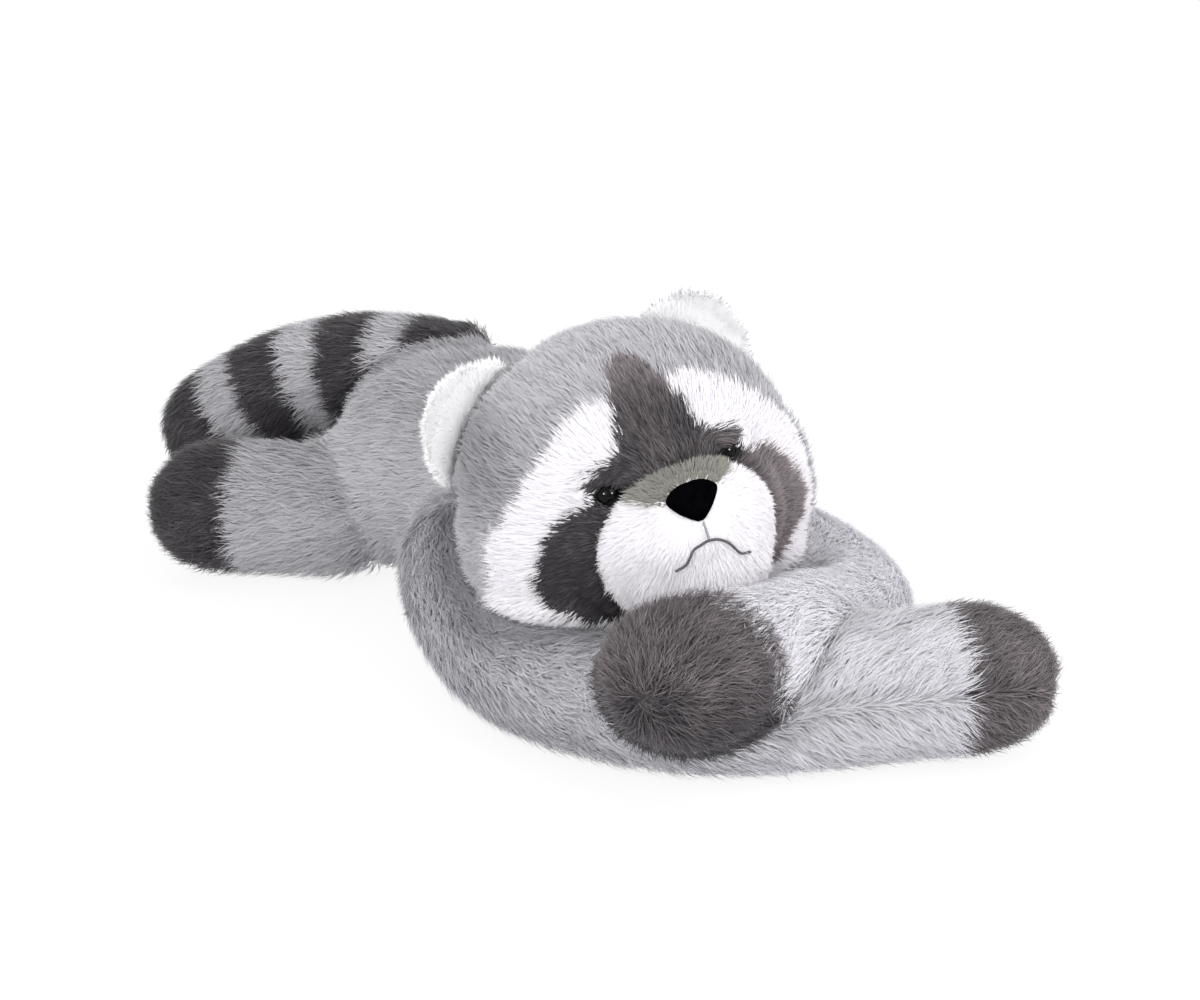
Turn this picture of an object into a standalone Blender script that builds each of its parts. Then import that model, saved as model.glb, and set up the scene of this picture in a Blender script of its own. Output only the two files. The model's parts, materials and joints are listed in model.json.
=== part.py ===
"""Plush raccoon lying on its belly, with its head turned and resting on its crossed arms.

Metres, +Z up. The toy faces -Y and its left side is +X. It lies on z = 0, and the origin is the middle
of the flat patch of its belly. A solid's surface is the middle of its fur.
"""

import math

import bmesh
import bpy
from mathutils import Matrix, Vector
from mathutils.geometry import delaunay_2d_cdt

MM = 0.001

# Clearances between sewn pieces
SEAM_GAP = 0.3 * MM
PANEL_SEAT = 0.9 * MM
THREAD_SEAT = 0.35 * MM
CHIN_GAP = 0.8 * MM

# Torso
TORSO_LENGTH = 0.310
TORSO_WIDTH = 0.198
TORSO_HEIGHT = 0.186
TORSO_SAG = 0.008
TORSO_BEND = 0.012

# Arms
ARM_THICKNESS = 0.100
SHOULDER_INSET = 0.125
SHOULDER_SPREAD = 0.055
SHOULDER_HEIGHT = 0.080
FOREPAW_LENGTH = 0.072
FOREPAW_THICKNESS = 0.106
CROSSED_ARM_THICKNESS = 0.070
PRESSED_ARM_THICKNESS = 0.084
RESTING_PAW_LIFT = 0.034

# Hind legs
LEG_THICKNESS = 0.106
LEG_LENGTH = 0.197
HIP_INSET = 0.095
HIP_SPREAD = 0.040
LEG_SPLAY = math.radians(40.0)
HIND_PAW_LENGTH = 0.067
HIND_PAW_THICKNESS = 0.108

# Tail
TAIL_LENGTH = 0.265
TAIL_THICKNESS = 0.094
TAIL_ROOT_THICKNESS = 0.080
TAIL_ROOT_INSET = 0.085
TAIL_ROOT_HEIGHT = 0.143
TAIL_TIP_HEIGHT = 0.056
TAIL_CURL = math.radians(38.0)
TAIL_TIP_LENGTH = 0.045
TAIL_GREY_STRIP = 0.030
TAIL_DARK_STRIP = 0.040
TAIL_ROOT_SHIFT = 0.050

# Head
HEAD_WIDTH = 0.244
HEAD_DEPTH = 0.200
HEAD_HEIGHT = 0.220
HEAD_SIDE_SHIFT = -0.037
HEAD_REACH = 0.013
HEAD_CENTRE_HEIGHT = 0.144
HEAD_TURN = math.radians(24.5)
HEAD_LIFT = math.radians(13.0)
HEAD_ROLL = math.radians(12.0)
FACE_RADIUS = 0.110
FACE_PANEL_THICKNESS = 0.0035
CHEEK_FULLNESS = 0.11

# Muzzle, nose and mouth
MUZZLE_WIDTH = 0.126
MUZZLE_DEPTH = 0.100
MUZZLE_HEIGHT = 0.100
MUZZLE_FORWARD = 0.080
MUZZLE_DROP = 0.026
MUZZLE_MAP_RADIUS = 0.052
BRIDGE_THICKNESS = 0.003
NOSE_WIDTH = 0.034
NOSE_HEIGHT = 0.027
NOSE_DEPTH = 0.022
NOSE_RISE = 0.028
THREAD_THICKNESS = 0.0022

# Eyes
EYE_DIAMETER = 0.015
EYE_SPACING = 0.098
EYE_RISE = 0.018
EYE_SOCKET_CLEARANCE = 0.4 * MM

# Ears
EAR_WIDTH = 0.094
EAR_LENGTH = 0.094
EAR_CUP = 0.018
EAR_LAYER = 0.009
EAR_RIM = 0.0025
EAR_ANGLE = math.radians(37.0)
EAR_SINK = 0.020
EAR_SET_BACK = 0.044

# Mesh fineness
TUBE_SIDES = 16
CAP_RINGS = 4
PANEL_STEP = 0.011

# The torso's ends, worked out from its length
RUMP_Y = TORSO_LENGTH / 2
CHEST_Y = -TORSO_LENGTH / 2


class Finish:
    """A cloth or plastic finish, turned into one Principled material for each piece."""

    def __init__(self, colour, roughness):
        self.colour = colour
        self.roughness = roughness

    def material(self, name):
        made = bpy.data.materials.new(name + "_finish")
        made.use_nodes = True
        shader = made.node_tree.nodes["Principled BSDF"]
        shader.inputs["Base Color"].default_value = (*self.colour, 1.0)
        shader.inputs["Roughness"].default_value = self.roughness
        shader.inputs["Metallic"].default_value = 0.0
        made.diffuse_color = (*self.colour, 1.0)
        return made


GREY_PLUSH = Finish((0.40, 0.40, 0.42), 0.95)
DARK_PLUSH = Finish((0.085, 0.075, 0.080), 0.95)
WHITE_PLUSH = Finish((0.90, 0.88, 0.90), 0.95)
OLIVE_PLUSH = Finish((0.24, 0.24, 0.20), 0.95)
BLACK_VELVET = Finish((0.006, 0.005, 0.007), 0.8)
BLACK_PLASTIC = Finish((0.004, 0.004, 0.004), 0.08)
BLACK_THREAD = Finish((0.020, 0.022, 0.022), 0.7)
GREY_THREAD = Finish((0.25, 0.25, 0.26), 0.7)


def clear_scene():
    for existing in list(bpy.data.objects):
        bpy.data.objects.remove(existing, do_unlink=True)


def add_piece(name, points, faces, finish):
    """Make one closed piece from points and faces, with its faces pointing out."""
    mesh = bpy.data.meshes.new(name)
    mesh.from_pydata([tuple(p) for p in points], [], faces)
    shell = bmesh.new()
    shell.from_mesh(mesh)
    bmesh.ops.recalc_face_normals(shell, faces=shell.faces)
    shell.to_mesh(mesh)
    shell.free()
    mesh.shade_smooth()
    mesh.materials.append(finish.material(name))
    piece = bpy.data.objects.new(name, mesh)
    bpy.context.collection.objects.link(piece)
    return piece


def clearance_of(piece, gap=SEAM_GAP):
    """Return a hidden copy of a piece that is larger by the gap, to cut its neighbours with."""
    mesh = piece.data.copy()
    shell = bmesh.new()
    shell.from_mesh(mesh)
    shell.normal_update()
    moves = [(vertex, vertex.normal.copy()) for vertex in shell.verts]
    for vertex, normal in moves:
        vertex.co += normal * gap
    shell.to_mesh(mesh)
    shell.free()
    cutter = bpy.data.objects.new(piece.name + "_clearance", mesh)
    bpy.context.collection.objects.link(cutter)
    cutter.hide_render = True
    cutter.display_type = "WIRE"
    return cutter


def carve(piece, *cutters):
    """Cut the room of each neighbour out of a piece."""
    for cutter in cutters:
        cut = piece.modifiers.new("cut_for_" + cutter.name, "BOOLEAN")
        cut.operation = "DIFFERENCE"
        cut.solver = "EXACT"
        cut.object = cutter


class Route:
    """A smooth line through control points, read by the distance along it."""

    STEPS = 24

    def __init__(self, points):
        self.points = self.smoothed([Vector(p) for p in points])
        self.distances = [0.0]
        for before, after in zip(self.points, self.points[1:]):
            self.distances.append(self.distances[-1] + (after - before).length)
        self.length = self.distances[-1]

    def smoothed(self, knots):
        padded = [2 * knots[0] - knots[1], *knots, 2 * knots[-1] - knots[-2]]
        line = []
        for index in range(1, len(padded) - 2):
            a, b, c, d = padded[index - 1:index + 3]
            for step in range(self.STEPS):
                t = step / self.STEPS
                line.append(0.5 * (2 * b + (c - a) * t + (2 * a - 5 * b + 4 * c - d) * t ** 2
                                   + (3 * b - a - 3 * c + d) * t ** 3))
        return [*line, knots[-1]]

    def point(self, distance):
        distance = min(max(distance, 0.0), self.length)
        for index in range(1, len(self.points)):
            if self.distances[index] >= distance:
                break
        start, end = self.distances[index - 1], self.distances[index]
        return self.points[index - 1].lerp(self.points[index], (distance - start) / (end - start))

    def frame(self, distance):
        """Return the point, the level direction across the line and the upward direction."""
        reach = 0.02
        ahead = self.point(distance + reach) - self.point(distance - reach)
        across = ahead.cross(Vector((0, 0, 1))).normalized()
        return self.point(distance), across, across.cross(ahead).normalized()


def girth_at(girths, fraction):
    """Blend (fraction, half width, half height) rows smoothly."""
    for before, after in zip(girths, girths[1:]):
        if fraction <= after[0]:
            t = max(0.0, (fraction - before[0]) / (after[0] - before[0]))
            t = t * t * (3 - 2 * t)
            return tuple(p + (q - p) * t for p, q in zip(before[1:], after[1:]))
    return girths[-1][1:]


def stuffed_tube(name, route, girths, finish, start=0.0, end=None, cap_start=0.0, cap_end=0.0,
                 rings=8, sides=TUBE_SIDES):
    """Make a stuffed tube along a route, round or flat at each end and flattened by the floor."""
    end = route.length if end is None else end
    turns = [math.pi / 2 * (k + 1) / CAP_RINGS for k in range(CAP_RINGS)]
    stations = []
    if cap_start:
        stations += [(start + cap_start * (1 - math.cos(turn)), math.sin(turn)) for turn in turns[:-1]]
    first, last = start + cap_start, end - cap_end
    stations += [(first + (last - first) * k / rings, 1.0) for k in range(rings + 1)]
    if cap_end:
        stations += [(end - cap_end * (1 - math.cos(turn)), math.sin(turn)) for turn in turns[-2::-1]]
    points = []
    for distance, scale in stations:
        centre, across, upward = route.frame(distance)
        half_width, half_height = girth_at(girths, distance / route.length)
        for side in range(sides):
            angle = 2 * math.pi * (side + 0.5) / sides
            point = (centre + across * (half_width * scale * math.cos(angle))
                     + upward * (half_height * scale * math.sin(angle)))
            point.z = max(point.z, 0.0)
            points.append(point)
    faces = []
    for ring in range(len(stations) - 1):
        for side in range(sides):
            a = ring * sides + side
            b = ring * sides + (side + 1) % sides
            faces.append((a, b, b + sides, a + sides))
    for ring, distance in ((0, start), (len(stations) - 1, end)):
        points.append(route.point(distance))
        for side in range(sides):
            faces.append((ring * sides + side, ring * sides + (side + 1) % sides, len(points) - 1))
    return add_piece(name, points, faces, finish)


class Dome:
    """An egg-shaped form with its own directions: left, forward and up.

    A place on it is given in metres measured over its surface, sideways and upward from the point
    straight ahead of its centre.
    """

    CHEEK_WAY = Vector((0.74, 0.36, -0.57)).normalized()
    CHEEK_SPREAD = math.radians(48.0)

    def __init__(self, centre, axes, sizes, map_radius, cheeks=0.0):
        self.centre = Vector(centre)
        self.left, self.forward, self.up = axes
        self.halves = [size / 2 for size in sizes]
        self.map_radius = map_radius
        self.cheeks = cheeks

    def world(self, left, forward, up):
        return self.centre + self.left * left + self.forward * forward + self.up * up

    def point(self, u, v, lift=0.0):
        reach = math.hypot(u, v)
        angle = reach / self.map_radius
        spread = math.sin(angle) / reach if reach else 0.0
        way = (u * spread, math.cos(angle), v * spread)
        return self.world(*(w * (self.radius(way) + lift) for w in way))

    def radius(self, way):
        """Return the distance from the centre to the surface, with the cheeks rounded out."""
        plain = 1 / math.sqrt(sum((w / h) ** 2 for w, h in zip(way, self.halves)))
        cheek = self.CHEEK_WAY.angle(Vector((abs(way[0]), way[1], way[2])))
        bulge = math.cos(math.pi / 2 * min(1.0, cheek / self.CHEEK_SPREAD)) ** 2
        return plain * (1 + self.cheeks * bulge)

    def ball(self, name, finish, subdivisions=4):
        shell = bmesh.new()
        bmesh.ops.create_icosphere(shell, subdivisions=subdivisions, radius=1.0)
        ways = [Vector([c * h for c, h in zip(vertex.co, self.halves)]).normalized() for vertex in shell.verts]
        points = [self.world(*(way * self.radius(way))) for way in ways]
        faces = [[vertex.index for vertex in face.verts] for face in shell.faces]
        shell.free()
        return add_piece(name, points, faces, finish)


def inset_outline(outline, distance):
    """Move every side of a closed outline inwards by a distance."""
    area = sum(a.cross(b) for a, b in zip(outline, outline[1:] + outline[:1]))
    turn = 1 if area > 0 else -1
    inset = []
    for index, corner in enumerate(outline):
        before = (corner - outline[index - 1]).normalized()
        after = (outline[(index + 1) % len(outline)] - corner).normalized()
        first = Vector((-before.y, before.x)) * turn
        second = Vector((-after.y, after.x)) * turn
        middle = (first + second).normalized()
        inset.append(corner + middle * (distance / max(middle.dot(first), 0.5)))
    return inset


def distance_to_outline(point, outline):
    nearest = math.inf
    for start, end in zip(outline, outline[1:] + outline[:1]):
        along = end - start
        t = max(0.0, min(1.0, (point - start).dot(along) / along.length_squared))
        nearest = min(nearest, (point - start - along * t).length)
    return nearest


def surface_panel(name, dome, outline_mm, finish, thickness, step=PANEL_STEP):
    """Sew a panel with the given outline onto a dome, as a closed sheet of even thickness."""
    outline = inset_outline([Vector(corner) * MM for corner in outline_mm], SEAM_GAP / 2)
    rim = []
    for start, end in zip(outline, outline[1:] + outline[:1]):
        pieces = math.ceil((end - start).length / step)
        rim += [start.lerp(end, k / pieces) for k in range(pieces)]
    low = [min(p[axis] for p in rim) for axis in (0, 1)]
    high = [max(p[axis] for p in rim) for axis in (0, 1)]
    inner = []
    for row in range(int((high[1] - low[1]) / step) + 1):
        for column in range(int((high[0] - low[0]) / step) + 1):
            place = Vector((low[0] + (column + 0.5 * (row % 2)) * step, low[1] + (row + 0.5) * step))
            if distance_to_outline(place, rim) > 0.55 * step:
                inner.append(place)
    edges = [(k, (k + 1) % len(rim)) for k in range(len(rim))]
    flat, _, triangles, _, _, _ = delaunay_2d_cdt(rim + inner, edges, [list(range(len(rim)))], 1, 1e-7)
    points = [dome.point(p.x, p.y, PANEL_SEAT) for p in flat]
    points += [dome.point(p.x, p.y, PANEL_SEAT + thickness) for p in flat]
    count = len(flat)
    faces = [tuple(t) for t in triangles]
    faces += [tuple(k + count for k in reversed(t)) for t in triangles]
    sides = {}
    for triangle in triangles:
        for a, b in zip(triangle, list(triangle[1:]) + [triangle[0]]):
            sides[(a, b)] = True
    faces += [(b, a, a + count, b + count) for a, b in sides if (b, a) not in sides]
    return add_piece(name, points, faces, finish)


def mirrored(outline, side):
    """Return an outline of the toy's left half for the given side, +1 left and -1 right."""
    return [(side * u, v) for u, v in outline]


def stitched_line(name, places, dome, finish):
    """Lay a round thread over a dome through the given places in millimetres."""
    radius = THREAD_THICKNESS / 2
    curve = bpy.data.curves.new(name, "CURVE")
    curve.dimensions = "3D"
    curve.bevel_depth = radius
    curve.bevel_resolution = 1
    curve.use_fill_caps = True
    route = Route([(u * MM, v * MM, 0.0) for u, v in places])
    count = 3 * (len(places) - 1) + 1
    spline = curve.splines.new("POLY")
    spline.points.add(count - 1)
    for index, point in enumerate(spline.points):
        place = route.point(route.length * index / (count - 1))
        point.co = (*dome.point(place.x, place.y, radius + THREAD_SEAT), 1.0)
    curve.materials.append(finish.material(name))
    thread = bpy.data.objects.new(name, curve)
    bpy.context.collection.objects.link(thread)
    return thread


def build_torso():
    half_width, half_height = TORSO_WIDTH / 2, TORSO_HEIGHT / 2
    height = half_height - TORSO_SAG
    route = Route([(0.0, RUMP_Y, height), (TORSO_BEND, 0.0, height), (0.0, CHEST_Y, height)])
    girths = [(0.0, 0.94 * half_width, 0.94 * half_height), (0.35, half_width, half_height),
              (1.0, 0.86 * half_width, 0.90 * half_height)]
    return stuffed_tube("torso", route, girths, GREY_PLUSH, cap_start=half_width, cap_end=half_width,
                        rings=6, sides=24)


def head_dome():
    turn = Matrix.Rotation(-HEAD_TURN, 3, "Z")
    lift = Matrix.Rotation(-HEAD_LIFT, 3, "X")
    roll = Matrix.Rotation(-HEAD_ROLL, 3, "Y")
    stance = turn @ lift @ roll
    axes = (stance @ Vector((1, 0, 0)), stance @ Vector((0, -1, 0)), stance @ Vector((0, 0, 1)))
    centre = (HEAD_SIDE_SHIFT, CHEST_Y - HEAD_REACH, HEAD_CENTRE_HEIGHT)
    return Dome(centre, axes, (HEAD_WIDTH, HEAD_DEPTH, HEAD_HEIGHT), FACE_RADIUS, CHEEK_FULLNESS)


def muzzle_dome(head):
    centre = head.world(0.0, MUZZLE_FORWARD, -MUZZLE_DROP)
    axes = (head.left, head.forward, head.up)
    return Dome(centre, axes, (MUZZLE_WIDTH, MUZZLE_DEPTH, MUZZLE_HEIGHT), MUZZLE_MAP_RADIUS)


# Face outlines for the toy's left half, in millimetres over the head from the middle of the face.
BLAZE_EDGE = [(0, 119), (12, 113), (19, 100), (25, 74), (32, 48), (38, 26)]
BLAZE_FOOT = [(32, 12), (0, 8)]
BROW_TOP = [(47, 44), (60, 42)]
BROW_FOOT = [(63, 32), (52, 26)]
MASK_TOP = [(60, 19), (68, 16), (85, 11)]
MASK_EDGE = [(97, -1), (107, -20), (111, -38), (102, -52), (80, -66), (47, -88)]
MASK_INNER = [(40, -60), (42, -10), (46, 16)]
CHEEK_EDGE = [(48, -106), (75, -102), (112, -86), (141, -63), (151, -30), (141, 2), (121, 25), (96, 50),
              (67, 75), (39, 89), (25, 84)]

BLAZE_OUTLINE = (BLAZE_EDGE + BLAZE_FOOT
                 + [(-u, v) for u, v in (BLAZE_EDGE[1:] + BLAZE_FOOT[:1])[::-1]])
BROW_OUTLINE = [BLAZE_EDGE[4]] + BROW_TOP + BROW_FOOT + [BLAZE_EDGE[5]]
MASK_OUTLINE = MASK_TOP + MASK_EDGE + MASK_INNER
CHEEK_OUTLINE = (CHEEK_EDGE + [BLAZE_EDGE[3], BLAZE_EDGE[4]] + BROW_TOP + BROW_FOOT[:1]
                 + MASK_TOP + MASK_EDGE)

# Outlines on the muzzle, in millimetres over it from its own middle.
BRIDGE_OUTLINE = [(-15, 32), (-26, 33), (-40, 40), (-42, 47), (-24, 57), (0, 60), (24, 57), (42, 47), (40, 40),
                  (26, 33), (15, 32)]
PHILTRUM_LINE = [(0, 12), (0, 8), (0, 3.5)]
MOUTH_LINE = [(-25, -11), (-18, -9), (-12, -2), (-6, 0), (0, 1), (7, -1), (13, -6), (19, -14), (26, -16)]


def build_head(head, muzzle):
    """Make the head with everything sewn to it, and return the room of the head, its face and its muzzle."""
    skull = head.ball("head", GREY_PLUSH)
    snout = muzzle.ball("muzzle", WHITE_PLUSH, subdivisions=3)
    skull_room, snout_room = clearance_of(skull), clearance_of(snout)
    carve(snout, skull_room)
    nose_axes = (head.left, head.forward, head.up)
    nose = Dome(muzzle.point(0.0, NOSE_RISE), nose_axes, (NOSE_WIDTH, NOSE_DEPTH, NOSE_HEIGHT), NOSE_WIDTH)
    pad = nose.ball("nose", BLACK_VELVET, subdivisions=3)
    narrow_nose(pad, nose)
    carve(pad, snout_room)
    bridge = surface_panel("muzzle_bridge", muzzle, BRIDGE_OUTLINE, OLIVE_PLUSH, BRIDGE_THICKNESS, 0.008)
    carve(bridge, skull_room, clearance_of(pad))
    blaze = surface_panel("forehead_blaze", head, BLAZE_OUTLINE, DARK_PLUSH, FACE_PANEL_THICKNESS)
    carve(blaze, snout_room, clearance_of(bridge))
    stitched_line("philtrum_stitch", PHILTRUM_LINE, muzzle, GREY_THREAD)
    stitched_line("mouth_stitch", MOUTH_LINE, muzzle, BLACK_THREAD)
    for side_name, side in (("left", 1), ("right", -1)):
        socket = build_eye(side_name, side, head, skull_room)
        for label, outline, finish in (("brow", BROW_OUTLINE, DARK_PLUSH), ("mask", MASK_OUTLINE, DARK_PLUSH),
                                       ("cheek", CHEEK_OUTLINE, WHITE_PLUSH)):
            panel = surface_panel(f"{side_name}_{label}", head, mirrored(outline, side), finish,
                                  FACE_PANEL_THICKNESS)
            carve(panel, snout_room, socket)
        build_ear(side_name, side, head, skull_room)
    face_room = clearance_of(skull, PANEL_SEAT + FACE_PANEL_THICKNESS + CHIN_GAP)
    return skull_room, face_room, snout_room


def narrow_nose(pad, nose):
    """Draw the lower half of the nose in, to the rounded triangle of a velvet nose."""
    for vertex in pad.data.vertices:
        offset = vertex.co - nose.centre
        drop = min(0.0, offset.dot(nose.up)) / (NOSE_HEIGHT / 2)
        vertex.co -= nose.left * (offset.dot(nose.left) * -0.45 * drop)


def build_eye(side_name, side, head, skull_room):
    """Set a bead into the face and return the room that the cloth leaves round it."""
    place = (side * EYE_SPACING / 2, EYE_RISE)
    bead_axes = (head.left, head.forward, head.up)
    sizes = (EYE_DIAMETER, EYE_DIAMETER, EYE_DIAMETER)
    bead = Dome(head.point(*place, EYE_DIAMETER * 0.18), bead_axes, sizes, EYE_DIAMETER)
    eye = bead.ball(side_name + "_eye", BLACK_PLASTIC, subdivisions=3)
    room = clearance_of(eye, EYE_SOCKET_CLEARANCE)
    carve(eye, skull_room)
    return room


def build_ear(side_name, side, head, skull_room):
    """Make a cupped ear of two layers, grey behind and white in front, standing on the head."""
    outward = head.left * (side * math.cos(EAR_ANGLE)) + head.up * math.sin(EAR_ANGLE)
    across = head.forward.cross(outward).normalized()
    skull_radius = 1 / math.sqrt((2 * math.cos(EAR_ANGLE) / HEAD_WIDTH) ** 2
                                 + (2 * math.sin(EAR_ANGLE) / HEAD_HEIGHT) ** 2)
    middle = (head.centre + outward * (skull_radius - EAR_SINK)
              - head.forward * EAR_SET_BACK)
    for name, finish, facing in ((f"{side_name}_ear", GREY_PLUSH, -1),
                                 (f"{side_name}_ear_lining", WHITE_PLUSH, 1)):
        layer = ear_layer(name, middle, outward, across, head.forward, facing, finish)
        carve(layer, skull_room)


def ear_layer(name, middle, outward, across, forward, facing, finish, rings=4, sides=18):
    """Make one layer of an ear: a cupped oval, thick in the middle and thin at the rim."""
    points = []
    for face in (0, 1):
        for ring in range(rings + 1):
            reach = ring / rings
            for side in range(sides if ring else 1):
                angle = 2 * math.pi * side / sides
                x, y = reach * math.cos(angle), reach * math.sin(angle)
                depth = EAR_RIM + (EAR_LAYER - EAR_RIM) * (1 - reach ** 2)
                offset = facing * (SEAM_GAP / 2 + face * depth) + EAR_CUP * reach ** 2
                points.append(middle + across * (x * EAR_WIDTH / 2) + outward * (y * EAR_LENGTH / 2)
                              + forward * offset)
    count = len(points) // 2
    faces = []
    for face in (0, 1):
        base = face * count
        faces += [(base, base + 1 + side, base + 1 + (side + 1) % sides) for side in range(sides)]
        for ring in range(rings - 1):
            for side in range(sides):
                a = base + 1 + ring * sides + side
                b = base + 1 + ring * sides + (side + 1) % sides
                faces.append((a, a + sides, b + sides, b))
    rim = 1 + (rings - 1) * sides
    for side in range(sides):
        a, b = rim + side, rim + (side + 1) % sides
        faces.append((a, a + count, b + count, b))
    return add_piece(name, points, faces, finish)


def build_arm(side_name, knots, girths, rooms):
    """Make a sleeve and its paw along one route, and return both pieces."""
    route = Route(knots)
    seam = route.length - FOREPAW_LENGTH
    sleeve = stuffed_tube(side_name + "_arm", route, girths, GREY_PLUSH, end=seam - SEAM_GAP / 2,
                          cap_start=ARM_THICKNESS / 2, rings=12)
    paw = stuffed_tube(side_name + "_forepaw", route, girths, DARK_PLUSH, start=seam + SEAM_GAP / 2,
                       cap_end=0.8 * FOREPAW_LENGTH, rings=2)
    carve(sleeve, *rooms)
    carve(paw, *rooms)
    return sleeve, paw


def build_arms(rooms):
    """Lay the right arm along the floor under the face, and the left arm across it."""
    shoulder_y = RUMP_Y - TORSO_LENGTH + SHOULDER_INSET
    half = ARM_THICKNESS / 2
    paw = FOREPAW_THICKNESS / 2
    low = CROSSED_ARM_THICKNESS / 2
    pressed = PRESSED_ARM_THICKNESS / 2
    left_knots = [(SHOULDER_SPREAD, shoulder_y, SHOULDER_HEIGHT), (0.105, shoulder_y - 0.075, 0.056),
                  (0.116, shoulder_y - 0.160, pressed), (0.086, shoulder_y - 0.236, pressed),
                  (0.005, shoulder_y - 0.266, half + 0.4 * RESTING_PAW_LIFT),
                  (-0.080, shoulder_y - 0.280, half + RESTING_PAW_LIFT),
                  (-0.192, shoulder_y - 0.302, half + 0.8 * RESTING_PAW_LIFT)]
    left_girths = [(0.0, half, half), (0.25, half, pressed), (0.6, half, pressed),
                   (0.86, 1.12 * paw, 0.92 * paw), (1.0, 1.12 * paw, 0.92 * paw)]
    left_sleeve, left_paw = build_arm("left", left_knots, left_girths, rooms)
    right_knots = [(-SHOULDER_SPREAD, shoulder_y, SHOULDER_HEIGHT), (-0.108, shoulder_y - 0.050, 0.062),
                   (-0.142, shoulder_y - 0.140, pressed), (-0.134, shoulder_y - 0.228, pressed),
                   (-0.084, shoulder_y - 0.291, low), (-0.021, shoulder_y - 0.345, half),
                   (0.050, shoulder_y - 0.389, half), (0.088, shoulder_y - 0.412, half)]
    right_girths = [(0.0, half, half), (0.2, half, pressed), (0.45, half, pressed),
                    (0.62, 1.04 * half, low), (0.78, half, half), (0.92, paw, 0.96 * paw),
                    (1.0, paw, 0.96 * paw)]
    crossing = (clearance_of(left_sleeve), clearance_of(left_paw))
    return build_arm("right", right_knots, right_girths, (*rooms, *crossing))


def build_hind_leg(side_name, side, torso_room):
    half, paw = LEG_THICKNESS / 2, HIND_PAW_THICKNESS / 2
    hip = Vector((side * HIP_SPREAD, RUMP_Y - HIP_INSET, half))
    way = Vector((side * math.sin(LEG_SPLAY), math.cos(LEG_SPLAY), 0.0))
    route = Route([hip, hip + way * LEG_LENGTH / 2, hip + way * LEG_LENGTH])
    seam = LEG_LENGTH - HIND_PAW_LENGTH
    girths = [(0.0, half, half), (0.6, half, half), (1.0, paw, 0.97 * paw)]
    leg = stuffed_tube(side_name + "_hind_leg", route, girths, GREY_PLUSH, end=seam - SEAM_GAP / 2,
                       cap_start=half, rings=5)
    stuffed_tube(side_name + "_hind_paw", route, girths, DARK_PLUSH, start=seam + SEAM_GAP / 2,
                 cap_end=0.8 * HIND_PAW_LENGTH, rings=2)
    carve(leg, torso_room)
    return leg


def build_tail(rooms):
    """Sew the tail from strips, dark and grey in turn, with a dark tip."""
    root = Vector((TAIL_ROOT_SHIFT, RUMP_Y - TAIL_ROOT_INSET, TAIL_ROOT_HEIGHT))
    sideways = Vector((-math.sin(TAIL_CURL), math.cos(TAIL_CURL), 0.0))
    middle = root + Vector((-0.25, 0.48, -0.087)) * TAIL_LENGTH
    tip = middle + sideways * (0.445 * TAIL_LENGTH)
    tip.z = TAIL_TIP_HEIGHT
    route = Route([root, middle, tip])
    half = TAIL_THICKNESS / 2
    girths = [(0.0, TAIL_ROOT_THICKNESS / 2, TAIL_ROOT_THICKNESS / 2), (0.35, half, half),
              (0.75, half, half), (1.0, 0.86 * half, 0.86 * half)]
    end = route.length - TAIL_TIP_LENGTH
    stuffed_tube("tail_tip", route, girths, DARK_PLUSH, start=end + SEAM_GAP / 2, cap_end=0.85 * TAIL_TIP_LENGTH,
                 rings=1)
    strips = ["tail_grey_3", "tail_dark_3", "tail_grey_2", "tail_dark_2", "tail_grey_1"]
    for name in strips:
        finish, width = (DARK_PLUSH, TAIL_DARK_STRIP) if "dark" in name else (GREY_PLUSH, TAIL_GREY_STRIP)
        strip = stuffed_tube(name, route, girths, finish, start=end - width + SEAM_GAP / 2,
                             end=end - SEAM_GAP / 2, rings=2)
        carve(strip, *rooms)
        end -= width
    first = stuffed_tube("tail_dark_1", route, girths, DARK_PLUSH, end=end - SEAM_GAP / 2, rings=3)
    carve(first, *rooms)


def main():
    clear_scene()
    head = head_dome()
    muzzle = muzzle_dome(head)
    skull_room, face_room, snout_room = build_head(head, muzzle)
    torso = build_torso()
    torso_room = clearance_of(torso)
    carve(torso, skull_room)
    build_arms((torso_room, face_room, snout_room))
    for side_name, side in (("left", 1), ("right", -1)):
        build_hind_leg(side_name, side, torso_room)
    build_tail((torso_room,))


main()
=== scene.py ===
"""Dress a plush raccoon that lies on its belly: stuffed cloth, long pile, face trim, beads and stitches.

Metres, +Z up, in the frame of the solids: the toy faces -Y and its left side is +X. Each stuffed part is
a backing cloth that lies a little inside its solid, and the pile on it reaches the solid's surface.
"""

import json
import logging
import math
from dataclasses import dataclass, field
from enum import Enum
from typing import ClassVar

import bmesh
import bpy
import numpy as np
from mathutils import Matrix, Vector
from mathutils.bvhtree import BVHTree

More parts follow.
